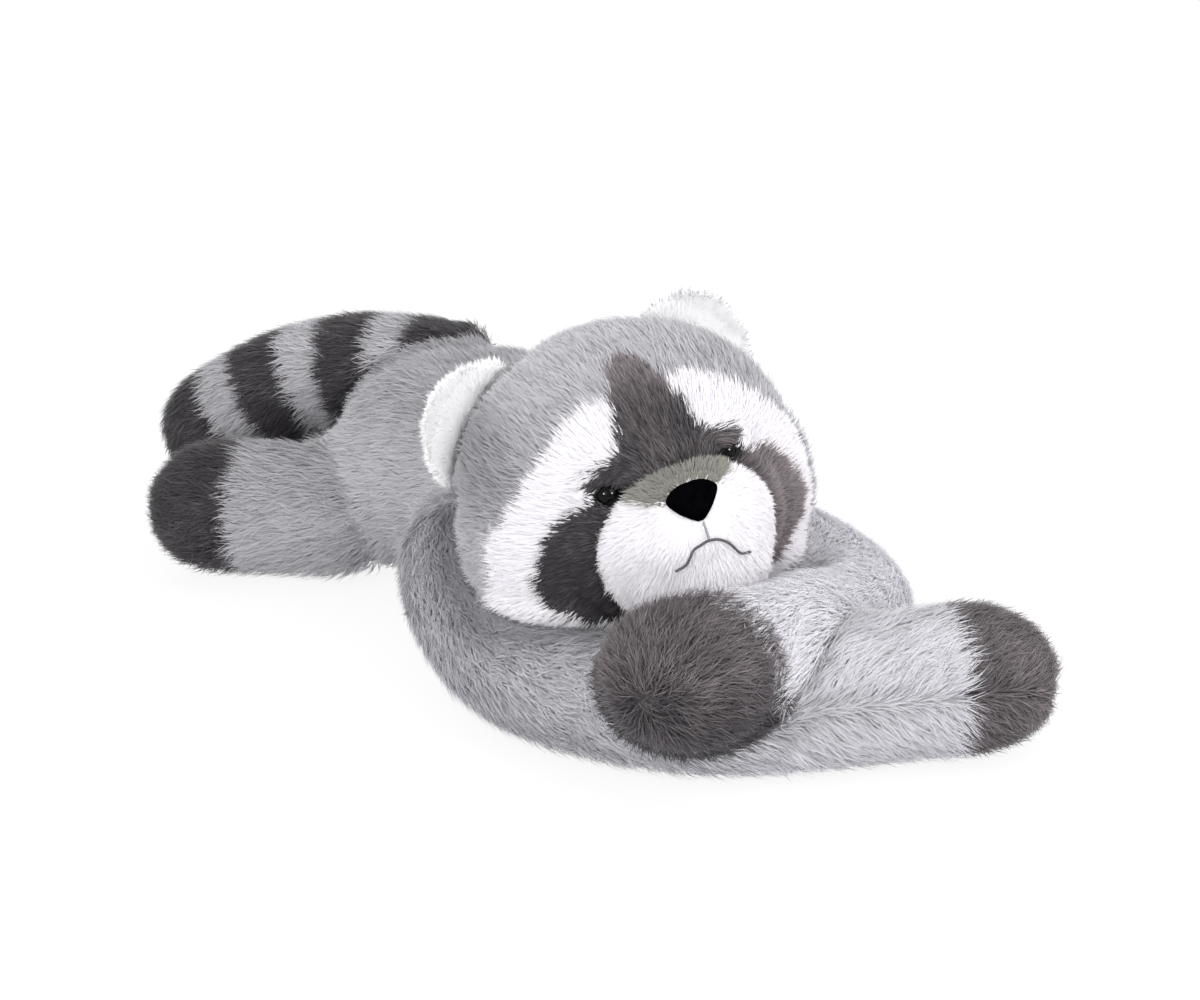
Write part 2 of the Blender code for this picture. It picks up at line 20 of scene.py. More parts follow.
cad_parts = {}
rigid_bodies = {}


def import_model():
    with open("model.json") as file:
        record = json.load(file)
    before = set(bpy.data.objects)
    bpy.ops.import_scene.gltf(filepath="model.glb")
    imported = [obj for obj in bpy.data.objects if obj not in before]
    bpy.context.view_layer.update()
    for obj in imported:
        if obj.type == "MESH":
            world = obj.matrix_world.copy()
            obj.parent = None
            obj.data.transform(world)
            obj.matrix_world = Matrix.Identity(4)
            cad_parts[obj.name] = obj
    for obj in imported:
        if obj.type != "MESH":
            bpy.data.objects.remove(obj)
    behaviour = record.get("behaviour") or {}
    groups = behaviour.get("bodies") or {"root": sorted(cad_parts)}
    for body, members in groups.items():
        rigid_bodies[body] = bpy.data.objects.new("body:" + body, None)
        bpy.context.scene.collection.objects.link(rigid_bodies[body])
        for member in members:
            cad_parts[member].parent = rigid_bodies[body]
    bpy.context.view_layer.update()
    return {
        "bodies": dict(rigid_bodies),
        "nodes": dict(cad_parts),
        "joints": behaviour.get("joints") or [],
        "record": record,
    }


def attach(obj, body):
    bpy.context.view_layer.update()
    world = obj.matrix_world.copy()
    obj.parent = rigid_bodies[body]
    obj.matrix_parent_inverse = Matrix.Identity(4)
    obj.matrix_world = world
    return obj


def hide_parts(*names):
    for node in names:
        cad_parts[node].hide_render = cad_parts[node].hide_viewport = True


LOG = logging.getLogger("plush_raccoon")
MM = 0.001
PILE_MAP = "OFBake"

Array = np.ndarray


def linear(code: str) -> tuple[float, float, float, float]:
    """Turn an sRGB hex colour into a linear one.

    Args:
        code: the colour as "#rrggbb".

    Returns:
        Red, green, blue and alpha for a shader's socket.
    """
    parts = [int(code[k:k + 2], 16) / 255 for k in (1, 3, 5)]
    return (*(c / 12.92 if c <= 0.04045 else ((c + 0.055) / 1.055) ** 2.4 for c in parts), 1.0)


def outlet(node: bpy.types.Node, name: str = "") -> bpy.types.NodeSocket:
    """Return a node's first enabled output, or the enabled one of that name."""
    return next(s for s in node.outputs if s.enabled and name in ("", s.name))


def feed(tree: bpy.types.NodeTree, node: bpy.types.Node, inputs: dict[str | int, object]) -> None:
    """Give a node its inputs.

    Args:
        tree: the node's tree.
        node: the node.
        inputs: a value, a socket or a node for each input, by name or by number.
    """
    for key, value in inputs.items():
        if isinstance(key, int):
            socket = node.inputs[key]
        else:
            socket = next(s for s in node.inputs if s.enabled and s.name == key)
        if isinstance(value, bpy.types.Node):
            value = outlet(value)
        if isinstance(value, bpy.types.NodeSocket):
            tree.links.new(value, socket)
        else:
            socket.default_value = value


def add_node(tree: bpy.types.NodeTree, kind: str, inputs: dict[str | int, object] | None = None,
             **settings: object) -> bpy.types.Node:
    """Add a node of a Blender type to a tree, with its inputs as feed takes them and its own settings."""
    node = tree.nodes.new(kind)
    for name, value in settings.items():
        setattr(node, name, value)
    feed(tree, node, inputs or {})
    return node


def new_material(name: str) -> tuple[bpy.types.Material, bpy.types.NodeTree, bpy.types.Node]:
    """Return a material with nodes, its tree and its Principled shader."""
    made = bpy.data.materials.new(name)
    made.use_nodes = True
    return made, made.node_tree, made.node_tree.nodes["Principled BSDF"]


def place_on(tree: bpy.types.NodeTree) -> bpy.types.NodeSocket:
    """Return the shaded place in the object's own metres."""
    return outlet(add_node(tree, "ShaderNodeTexCoord"), "Object")


def noise(tree: bpy.types.NodeTree, place: bpy.types.NodeSocket, scale: float, detail: float,
          roughness: float = 0.5) -> bpy.types.NodeSocket:
    """Add a noise over places, with scale features to the metre, and return its value."""
    return outlet(add_node(tree, "ShaderNodeTexNoise", {"Vector": place, "Scale": scale, "Detail": detail,
                                                        "Roughness": roughness}), "Fac")


def ramp(tree: bpy.types.NodeTree, factor: bpy.types.NodeSocket,
         stops: tuple[tuple[float, str], ...]) -> bpy.types.Node:
    """Add a colour ramp with the given stops, each a place and an sRGB hex colour."""
    node = add_node(tree, "ShaderNodeValToRGB", {"Fac": factor})
    band = node.color_ramp
    while len(band.elements) < len(stops):
        band.elements.new(0.5)
    for element, (place, code) in zip(band.elements, stops):
        element.position = place
        element.color = linear(code)
    return node


def new_group(name: str, sizes: tuple[tuple[str, str], ...]
              ) -> tuple[bpy.types.NodeTree, bpy.types.Node, dict[str, str]]:
    """Start a Geometry Nodes tree that takes a geometry and gives one.

    Args:
        name: the tree's name.
        sizes: the name and the kind of each further input.

    Returns:
        The tree, its input node and the further inputs' identifiers by name.
    """
    tree = bpy.data.node_groups.new(name, "GeometryNodeTree")
    face = tree.interface
    face.new_socket("Geometry", in_out="INPUT", socket_type="NodeSocketGeometry")
    keys = {size: face.new_socket(size, in_out="INPUT", socket_type="NodeSocket" + kind).identifier
            for size, kind in sizes}
    face.new_socket("Geometry", in_out="OUTPUT", socket_type="NodeSocketGeometry")
    return tree, add_node(tree, "NodeGroupInput"), keys


def linked(name: str, data: bpy.types.ID) -> bpy.types.Object:
    """Make an object of a mesh, a lamp or a camera, and put it into the scene."""
    made = bpy.data.objects.new(name, data)
    bpy.context.scene.collection.objects.link(made)
    return made


@dataclass(frozen=True)
class PileFinish:
    """Acrylic pile, dyed: each strand runs from its root colour to its tip colour, and strands differ. A root
    darker than its tip is partly the dye and partly painted shade between the strands.

    Attributes:
        name: the material's name.
        plain, tipped: a strand's colours at its root, middle and tip, at the lowest and the highest tone.
        roughness, sheen: how the strands shine.
        glow: the share of light that passes through them.
        variety: how far their tones differ.
    """

    name: str
    plain: tuple[str, str, str]
    tipped: tuple[str, str, str]
    roughness: float = 0.75
    sheen: float = 0.15
    glow: float = 0.46
    variety: float = 0.4

    def material(self) -> bpy.types.Material:
        """Make the pile's material: thin strands that pass light on.

        It reads the strands' own map: across is a strand's tone, and up runs from its root to its tip.
        """
        made, tree, shader = new_material(self.name)
        place = add_node(tree, "ShaderNodeUVMap", uv_map=PILE_MAP)
        parts = add_node(tree, "ShaderNodeSeparateXYZ", {"Vector": place})
        # stops at root, middle and tip: the darker roots partly paint the shade between strands
        first, second = (ramp(tree, outlet(parts, "Y"), tuple(zip((0.0, 0.55, 1.0), codes)))
                         for codes in (self.plain, self.tipped))
        blend = add_node(tree, "ShaderNodeMix", {"Factor": outlet(parts, "X"), "A": first, "B": second},
                         data_type="RGBA")
        colour = outlet(blend, "Result")
        feed(tree, shader, {"Base Color": colour, "Roughness": self.roughness, "Sheen Weight": self.sheen,
                            "Sheen Roughness": 0.4, "Specular IOR Level": 0.25})
        through = add_node(tree, "ShaderNodeBsdfTranslucent", {"Color": colour})
        mixed = add_node(tree, "ShaderNodeMixShader", {0: self.glow, 1: shader, 2: through})
        feed(tree, tree.nodes["Material Output"], {"Surface": mixed})
        return made


@dataclass(frozen=True)
class BackingCloth:
    """Knitted polyester backing under the pile: fine courses of loops, matt."""

    name: str
    colour: str
    shade: str
    loop: float = 1.6 * MM

    def material(self) -> bpy.types.Material:
        """Make the cloth, with courses of loops that are drawn at twice their real size so that they show."""
        made, tree, shader = new_material(self.name)
        place = place_on(tree)
        loops = add_node(tree, "ShaderNodeTexVoronoi", {"Vector": place, "Scale": 1 / self.loop})
        bump = add_node(tree, "ShaderNodeBump", {"Strength": 0.4, "Distance": 0.4 * MM,
                                                 "Height": outlet(loops, "Distance")})
        tint = ramp(tree, noise(tree, place, 60.0, 4.0), ((0.35, self.shade), (0.65, self.colour)))
        feed(tree, shader, {"Base Color": tint, "Normal": bump, "Roughness": 0.95})
        return made


@dataclass(frozen=True)
class FlockedVelvet:
    """Black flocked velvet of the nose: a short upright nap that swallows light."""

    name: str = "flocked_velvet_black"
    dark: str = "#020203"
    light: str = "#070609"

    def material(self) -> bpy.types.Material:
        """Make the velvet, with a nap about 0.5 mm across."""
        made, tree, shader = new_material(self.name)
        place = place_on(tree)
        bump = add_node(tree, "ShaderNodeBump", {"Strength": 0.5, "Distance": 0.5 * MM,
                                                 "Height": noise(tree, place, 2000.0, 3.0)})
        tint = ramp(tree, noise(tree, place, 160.0, 5.0, 0.7), ((0.35, self.dark), (0.75, self.light)))
        feed(tree, shader, {"Base Color": tint, "Normal": bump, "Roughness": 0.9, "Specular IOR Level": 0.0})
        return made


@dataclass(frozen=True)
class MouldedBead:
    """Polished black acrylic bead, moulded: almost mirror smooth, with faint handling marks."""

    name: str = "moulded_acrylic_black"
    colour: str = "#060607"

    def material(self) -> bpy.types.Material:
        """Make the acrylic, with marks a few millimetres long in its gloss."""
        made, tree, shader = new_material(self.name)
        gloss = add_node(tree, "ShaderNodeMapRange", {"Value": noise(tree, place_on(tree), 500.0, 3.0),
                                                      "To Min": 0.03, "To Max": 0.09})
        feed(tree, shader, {"Base Color": linear(self.colour), "Roughness": gloss, "IOR": 1.49,
                            "Specular IOR Level": 0.1})
        return made


@dataclass(frozen=True)
class SpunThread:
    """Spun polyester embroidery thread: twisted plies with a soft sheen."""

    name: str
    colour: str
    shade: str

    def material(self) -> bpy.types.Material:
        """Make the thread, with plies about 0.4 mm wide."""
        made, tree, shader = new_material(self.name)
        tint = ramp(tree, noise(tree, place_on(tree), 1200.0, 2.0), ((0.3, self.shade), (0.7, self.colour)))
        feed(tree, shader, {"Base Color": tint, "Roughness": 0.55, "Sheen Weight": 0.2})
        return made


class Pile(Enum):
    """The dyed piles of the toy."""

    # Besides real variety, a cloth's bias moves strands between the plain and the tipped colours to paint
    # light and shade in places.
    GREY = PileFinish("acrylic_pile_light_grey", ("#b4b3b7", "#d0cfd3", "#e2e1e5"),
                      ("#79787d", "#8f8e93", "#a3a2a7"), sheen=0.35, variety=0.35)
    SLEEVE = PileFinish("acrylic_pile_pale_grey", ("#dcdbdf", "#f0eff3", "#f9f8fc"),
                        ("#858489", "#9d9ca1", "#b3b2b7"), sheen=0.35, variety=0.3)
    DARK = PileFinish("acrylic_pile_charcoal", ("#2b282c", "#3d3a3f", "#4f4b50"),
                      ("#5f595e", "#908789", "#beb3b4"), sheen=0.5, variety=0.55)
    # a brighter copy of the white pile for the ears' linings: painted light
    LIT_WHITE = PileFinish("acrylic_pile_white_painted_light", ("#f8f7f9", "#ffffff", "#ffffff"),
                      ("#f4f3f5", "#fdfcfe", "#ffffff"), glow=0.3)
    # near-black pile around the beads: painted shade of their hollows
    HOLLOW_SHADE = PileFinish("acrylic_pile_painted_hollow_shade", ("#0f0e10", "#161417", "#201d21"),
                      ("#121113", "#1b191b", "#292629"), sheen=0.0)
    WHITE = PileFinish("acrylic_pile_white", ("#eeecef", "#f5f3f6", "#faf8fb"),
                       ("#e9e7ea", "#f2f0f3", "#f8f6f9"))
    OLIVE = PileFinish("acrylic_pile_olive_grey", ("#807f79", "#a09f98", "#b5b4ad"),
                       ("#72716b", "#918f88", "#a8a79f"))


class Cloth(Enum):
    """The backing cloths under the piles."""

    GREY = BackingCloth("knitted_backing_grey", "#b3b2b6", "#a1a0a4")
    DARK = BackingCloth("knitted_backing_charcoal", "#3f3a3c", "#332f31")
    WHITE = BackingCloth("knitted_backing_white", "#ffffff", "#f8f7f9")
    OLIVE = BackingCloth("knitted_backing_olive", "#77776e", "#66665e")


class Wardrobe:
    """Keeps one material for each finish, made when it is first asked for."""

    def __init__(self) -> None:
        self.made: dict[str, bpy.types.Material] = {}

    def get(self, finish: PileFinish | BackingCloth | FlockedVelvet | MouldedBead
            | SpunThread) -> bpy.types.Material:
        """Return the finish's material."""
        if finish.name not in self.made:
            self.made[finish.name] = finish.material()
        return self.made[finish.name]


@dataclass
class Surface:
    """A triangulated or quad surface as plain arrays."""

    points: Array
    faces: list[tuple[int, ...]]

    @classmethod
    def of_solids(cls, names: tuple[str, ...], solids: dict[str, bpy.types.Object]) -> "Surface":
        """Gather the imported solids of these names, with their doubled corners merged."""
        shell = bmesh.new()
        for name in names:
            shell.from_mesh(solids[name].data)
        bmesh.ops.remove_doubles(shell, verts=shell.verts, dist=1e-6)
        points = np.array([v.co for v in shell.verts])
        faces = [tuple(v.index for v in f.verts) for f in shell.faces]
        shell.free()
        return cls(points, faces)

    def tree(self) -> BVHTree:
        """Return a search tree of the surface."""
        return BVHTree.FromPolygons([tuple(p) for p in self.points], self.faces)

    def object(self, name: str) -> bpy.types.Object:
        """Make a mesh object of the surface and link it."""
        mesh = bpy.data.meshes.new(name)
        mesh.from_pydata([tuple(p) for p in self.points], [], self.faces)
        return linked(name, mesh)


def baked(source: bpy.types.Object, name: str) -> bpy.types.Object:
    """Turn what an object's modifiers make into a plain mesh object, and remove the source.

    Args:
        source: the object with its modifiers.
        name: the new object's name.

    Returns:
        The plain object, at the origin.
    """
    graph = bpy.context.evaluated_depsgraph_get()
    mesh = bpy.data.meshes.new_from_object(source.evaluated_get(graph), depsgraph=graph)
    discard(source)
    mesh.name = name
    return linked(name, mesh)


def discard(piece: bpy.types.Object) -> None:
    """Remove an object and its mesh."""
    mesh = piece.data
    bpy.data.objects.remove(piece, do_unlink=True)
    if mesh.users == 0:
        bpy.data.meshes.remove(mesh)


def rows_of(items: bpy.types.bpy_prop_collection, key: str) -> Array:
    """Return a place or a direction of each item in a mesh's list."""
    found = np.empty(len(items) * 3, np.float32)
    items.foreach_get(key, found)
    return found.reshape(-1, 3).astype(float)


def points_of(piece: bpy.types.Object) -> Array:
    """Return a mesh object's corners."""
    return rows_of(piece.data.vertices, "co")


def normals_of(piece: bpy.types.Object) -> Array:
    """Return the outward direction at each corner of a mesh object."""
    return rows_of(piece.data.vertex_normals, "vector")


def move_points(piece: bpy.types.Object, points: Array) -> None:
    """Give a mesh object's corners new places."""
    piece.data.vertices.foreach_set("co", points.astype(np.float32).ravel())
    piece.data.update()


def smooth_object(name: str, shell: bmesh.types.BMesh) -> bpy.types.Object:
    """Turn a finished bmesh into an object that is shaded smooth."""
    mesh = bpy.data.meshes.new(name)
    shell.to_mesh(mesh)
    shell.free()
    mesh.shade_smooth()
    return linked(name, mesh)


def unit(vectors: Array) -> Array:
    """Scale each row to length 1."""
    return vectors / np.maximum(np.linalg.norm(vectors, axis=-1, keepdims=True), 1e-9)


def smooth_step(values: Array, low: float, high: float) -> Array:
    """Rise smoothly from 0 at low to 1 at high."""
    t = np.clip((values - low) / (high - low), 0, 1)
    return t * t * (3 - 2 * t)


class Route:
    """A smooth line through control points."""

    def __init__(self, knots: tuple[tuple[float, float, float], ...], steps: int = 24) -> None:
        rows = [np.array(k, float) for k in knots]
        rows = [2 * rows[0] - rows[1], *rows, 2 * rows[-1] - rows[-2]]
        line = []
        for a, b, c, d in zip(rows, rows[1:], rows[2:], rows[3:]):
            for t in np.arange(steps) / steps:
                line.append(0.5 * (2 * b + (c - a) * t + (2 * a - 5 * b + 4 * c - d) * t ** 2
                                   + (3 * b - a - 3 * c + d) * t ** 3))
        line.append(rows[-2])
        self.points = np.array(line)
        self.ways = unit(np.gradient(self.points, axis=0))

    def nearest(self, places: Array) -> Array:
        """Return the number of the route's point nearest to each place."""
        gaps = np.linalg.norm(places[:, None, :] - self.points[None, :, :], axis=2)
        return gaps.argmin(1)

    def share_at(self, places: Array) -> Array:
        """Return how far along the route each place lies, from 0 to 1."""
        return self.nearest(places) / (len(self.points) - 1)

    def way_at(self, places: Array) -> Array:
        """Return the route's direction beside each place."""
        return self.ways[self.nearest(places)]


@dataclass(frozen=True)
class Stuffing:
    """How a stuffed part is made from its solids.

    Attributes:
        cloth_depth: how far the backing cloth lies inside the solid's surface.
        seam_depth: the same where the part is sewn to another one or lies on it.
        weave: the size of the cloth's mesh.
        smoothing: how often the cloth is evened out.
        swell: how far the filling may press the cloth out.
        fill: how full it is, from 0 to 1.
    """

    cloth_depth: float = 7.6 * MM
    seam_depth: float = 0.8 * MM
    weave: float = 6 * MM
    smoothing: int = 6
    swell: float = 3 * MM
    fill: float = 0.7


@dataclass(frozen=True)
class Coat:
    """The cut and brushing of one pile.

    Attributes:
        finish: the pile's colours.
        length: the strands' mean length.
        width: the strands' width, which stands for a few fibres that cling together.
        density: strands per square metre.
        lift: the angle between the strands and the cloth, in degrees.
        mess: how far single strands stray from the brushing.
        locks: how far small locks stray together.
        seed: the seed of everything random.
    """

    finish: PileFinish
    length: float = 18 * MM
    width: float = 0.72 * MM
    density: float = 730_000.0
    lift: float = 21.0
    mess: float = 0.4
    locks: float = 0.5
    seed: int = 1


class PileTree:
    """The Geometry Nodes tree that sets strands of pile on a cloth.

    Attributes:
        SIZES: the tree's inputs.
        WAVES, LOCKS: features to the metre and strength of the brushing's slow waves and small locks.
        PATCHES, TUFTS: the same for the large and the small spots of another tone.
        SEED_STEP: how far apart two seeds look into the drifts.
        BEND: how far up a strand it bends.
        EDGE: half of a strand's width on the pile map, so that its triangles have an area there.
        MARGIN: the bare border of the pile map.
    """

    SIZES = (("Strand", "Object"), ("Density", "Float"), ("Length", "Float"), ("Width", "Float"),
             ("Lift", "Float"), ("Mess", "Float"), ("Locks", "Float"), ("Variety", "Float"),
             ("Floor", "Float"), ("Seed", "Int"), ("Finish", "Material"))
    WAVES, LOCKS = (14.0, 0.9), (95.0, 3.2)
    PATCHES, TUFTS = (45.0, 1.1), (230.0, 1.9)
    SEED_STEP = 3.7
    BEND = 0.45
    EDGE = 0.012
    MARGIN = 0.01

    def __init__(self) -> None:
        self.strand = self.make_strand()
        self.tree, self.entry, self.sockets = new_group("pile_on_cloth", self.SIZES)
        self.sizes = {name: outlet(self.entry, name) for name, _ in self.SIZES}
        self.place = outlet(self.add("GeometryNodeInputPosition"))
        self.build()

    def make_strand(self) -> bpy.types.Object:
        """Make one strand of unit length and width: a slim leaf with a bend, root at the origin."""
        mesh = bpy.data.meshes.new("strand")
        mesh.from_pydata([(0, 0, 0), (-0.5, 0.16, self.BEND), (0.5, 0.16, self.BEND), (0, 0, 1)], [],
                         [(0, 2, 1), (1, 2, 3)])
        for name, values in (("along", (0.0, self.BEND, self.BEND, 1.0)), ("aside", (0.0, -1.0, 1.0, 0.0))):
            mesh.attributes.new(name, "FLOAT", "POINT").data.foreach_set("value", values)
        return bpy.data.objects.new("strand", mesh)

    def add(self, kind: str, inputs: dict[str | int, object] | None = None,
            **settings: object) -> bpy.types.Node:
        """Add a node to the tree."""
        return add_node(self.tree, kind, inputs, **settings)

    def maths(self, operation: str, *values: object) -> bpy.types.Node:
        """Add a vector operation on the given values, in order."""
        return self.add("ShaderNodeVectorMath", dict(enumerate(values)), operation=operation)

    def scaled(self, vector: object, amount: object) -> bpy.types.Node:
        """Multiply a direction by a number."""
        return self.add("ShaderNodeVectorMath", {0: vector, "Scale": amount}, operation="SCALE")

    def number(self, operation: str, *values: object) -> bpy.types.Node:
        """Add an operation on numbers, in order."""
        return self.add("ShaderNodeMath", dict(enumerate(values)), operation=operation)

    def product(self, *values: object) -> object:
        """Multiply numbers."""
        total, *others = values
        for value in others:
            total = self.number("MULTIPLY", total, value)
        return total

    def read(self, name: str, kind: str = "FLOAT") -> bpy.types.NodeSocket:
        """Read an attribute of the cloth."""
        found = self.add("GeometryNodeInputNamedAttribute", {"Name": name}, data_type=kind)
        return outlet(found, "Attribute")

    def store(self, geometry: object, name: str, value: object, kind: str = "FLOAT",
              domain: str = "POINT") -> bpy.types.Node:
        """Store a value on each point, or on each corner of each face."""
        return self.add("GeometryNodeStoreNamedAttribute",
                        {"Geometry": geometry, "Name": name, "Value": value}, data_type=kind, domain=domain)

    def chance(self, low: float, high: float, seed: int) -> bpy.types.Node:
        """Draw a random number for each strand."""
        mixed = self.number("ADD", self.sizes["Seed"], float(seed))
        return self.add("FunctionNodeRandomValue", {"Min": low, "Max": high, "Seed": mixed},
                        data_type="FLOAT")

    def drift(self, scale: float, amount: object) -> bpy.types.Node:
        """Add a smooth random direction that changes over 1 / scale metres."""
        clouds = self.add("ShaderNodeTexNoise",
                          {"Vector": self.place, "W": self.product(self.sizes["Seed"], self.SEED_STEP),
                           "Scale": scale, "Detail": 1.0}, noise_dimensions="4D")
        return self.scaled(self.maths("SUBTRACT", outlet(clouds, "Color"), (0.5, 0.5, 0.5)), amount)

    def spots(self, scale: float, strength: float) -> bpy.types.Node:
        """Add a smooth random number around 0 that changes over 1 / scale metres."""
        return self.product(self.number("SUBTRACT", noise(self.tree, self.place, scale, 1.0), 0.5), strength)

    def stance(self) -> bpy.types.Node:
        """Turn each strand along the brushing and let it rise from the cloth."""
        out = self.read("out", "FLOAT_VECTOR")
        strays = self.add("FunctionNodeRandomValue", {"Min": (-1.0, -1.0, -1.0), "Max": (1.0, 1.0, 1.0),
                                                      "Seed": self.sizes["Seed"]}, data_type="FLOAT_VECTOR")
        waves = self.drift(*self.WAVES)
        locks = self.drift(self.LOCKS[0], self.product(self.sizes["Locks"], self.LOCKS[1]))
        aim = self.maths("ADD", self.maths("ADD", self.read("comb", "FLOAT_VECTOR"), waves),
                         self.maths("ADD", locks, self.scaled(strays, self.sizes["Mess"])))
        flat = self.maths("NORMALIZE", self.maths("SUBTRACT", aim, self.maths("PROJECT", aim, out)))
        lift = self.product(self.sizes["Lift"], self.read("rise"), self.chance(0.4, 1.6, 11))
        way = self.maths("ADD", self.scaled(flat, self.number("COSINE", lift)),
                         self.scaled(out, self.number("SINE", lift)))
        turn = self.add("FunctionNodeAxesToRotation", {"Primary Axis": way, "Secondary Axis": out},
                        primary_axis="Z", secondary_axis="Y")
        roll = self.add("FunctionNodeAxisAngleToRotation",
                        {"Axis": (0.0, 0.0, 1.0), "Angle": self.chance(-0.5, 0.5, 12)})
        return self.add("FunctionNodeRotateRotation", {"Rotation": turn, "Rotate By": roll},
                        rotation_space="LOCAL")

    def size(self) -> bpy.types.Node:
        """Give each strand its width and length."""
        length = self.product(self.sizes["Length"], self.read("pile"), self.chance(0.65, 1.2, 13))
        width = self.product(self.sizes["Width"], self.chance(0.7, 1.25, 14))
        return self.add("ShaderNodeCombineXYZ", {"X": width, "Y": length, "Z": length})

    def tone(self) -> bpy.types.Node:
        """Give each strand its tone: by chance, by patches and tufts, and by the cloth's bias."""
        varied = self.number("ADD", self.chance(-0.1, 0.75, 15),
                             self.number("ADD", self.spots(*self.PATCHES), self.spots(*self.TUFTS)))
        # the cloth's bias holds real shifts of tone and, in places, painted light and shade
        return self.number("ADD", self.product(varied, self.sizes["Variety"]), self.read("bias"))

    def on_map(self) -> bpy.types.Node:
        """Return each corner's place on the pile map: the tone across, and upwards from root to tip."""
        across = self.number("ADD", self.read("tone"), self.product(self.read("aside"), self.EDGE))
        kept = [self.add("ShaderNodeClamp", {"Value": value, "Min": self.MARGIN, "Max": 1 - self.MARGIN})
                for value in (across, self.read("along"))]
        return self.add("ShaderNodeCombineXYZ", {"X": kept[0], "Y": kept[1]})

    def above_floor(self) -> bpy.types.Node:
        """Return each corner's place, lifted to the floor where it would lie below it."""
        parts = self.add("ShaderNodeSeparateXYZ", {"Vector": self.place})
        return self.add("ShaderNodeCombineXYZ",
                        {"X": outlet(parts, "X"), "Y": outlet(parts, "Y"),
                         "Z": self.number("MAXIMUM", outlet(parts, "Z"), self.sizes["Floor"])})

    def build(self) -> None:
        """Spread points over the cloth and set a strand on each."""
        density = self.product(self.sizes["Density"], self.read("thick"))
        spread = self.add("GeometryNodeDistributePointsOnFaces",
                          {"Mesh": outlet(self.entry, "Geometry"), "Density": density,
                           "Seed": self.sizes["Seed"]})
        held = self.store(outlet(spread, "Points"), "out", outlet(spread, "Normal"), "FLOAT_VECTOR")
        toned = self.store(held, "tone", self.tone())
        strand = self.add("GeometryNodeObjectInfo", {"Object": self.sizes["Strand"]},
                          transform_space="ORIGINAL")
        planted = self.add("GeometryNodeInstanceOnPoints",
                           {"Points": toned, "Instance": outlet(strand, "Geometry"),
                            "Rotation": self.stance(), "Scale": self.size()})
        real = self.add("GeometryNodeRealizeInstances", {"Geometry": planted})
        mapped = self.store(real, PILE_MAP, self.on_map(), "FLOAT2", "CORNER")
        laid = self.add("GeometryNodeSetPosition", {"Geometry": mapped, "Position": self.above_floor()})
        dressed = self.add("GeometryNodeSetMaterial", {"Geometry": laid, "Material": self.sizes["Finish"]})
        self.add("NodeGroupOutput", {"Geometry": dressed})

    def grow(self, cloth: bpy.types.Object, coat: Coat, finish: bpy.types.Material,
             name: str) -> bpy.types.Object:
        """Grow a coat on a cloth.

        Args:
            cloth: a mesh with the attributes comb, thick, pile, rise and bias.
            coat: the cut of the pile.
            finish: the pile's material.
            name: the new piece's name.

        Returns:
            The pile as a plain mesh object.
        """
        values = {"Strand": self.strand, "Density": coat.density, "Length": coat.length, "Width": coat.width,
                  "Lift": math.radians(coat.lift), "Mess": coat.mess, "Locks": coat.locks,
                  "Variety": coat.finish.variety, "Floor": 0.4 * MM, "Seed": coat.seed, "Finish": finish}
        base = linked(name + "_base", cloth.data.copy())
        growth = base.modifiers.new("pile", "NODES")
        growth.node_group = self.tree
        for key, value in values.items():
            growth[self.sockets[key]] = value
        piece = baked(base, name)
        self.soften(piece)
        drop_numbers(piece, ("along", "aside", "tone", "out", *Groomer.KEYS))
        return piece

    @staticmethod
    def soften(piece: bpy.types.Object, share: float = 0.8) -> None:
        """Turn the strands' shading towards the cloth's own, as dense pile scatters light between strands.

        Args:
            piece: the pile, with the cloth's direction stored as out.
            share: how much of the cloth's direction each strand takes.
        """
        mesh = piece.data
        mesh.shade_smooth()
        out = unit(rows_of(mesh.attributes["out"].data, "vector"))
        own = normals_of(piece)
        facing = np.sign(np.sum(own * out, axis=1, keepdims=True))
        mesh.normals_split_custom_set_from_vertices(unit(out * facing * share + own * (1 - share)))


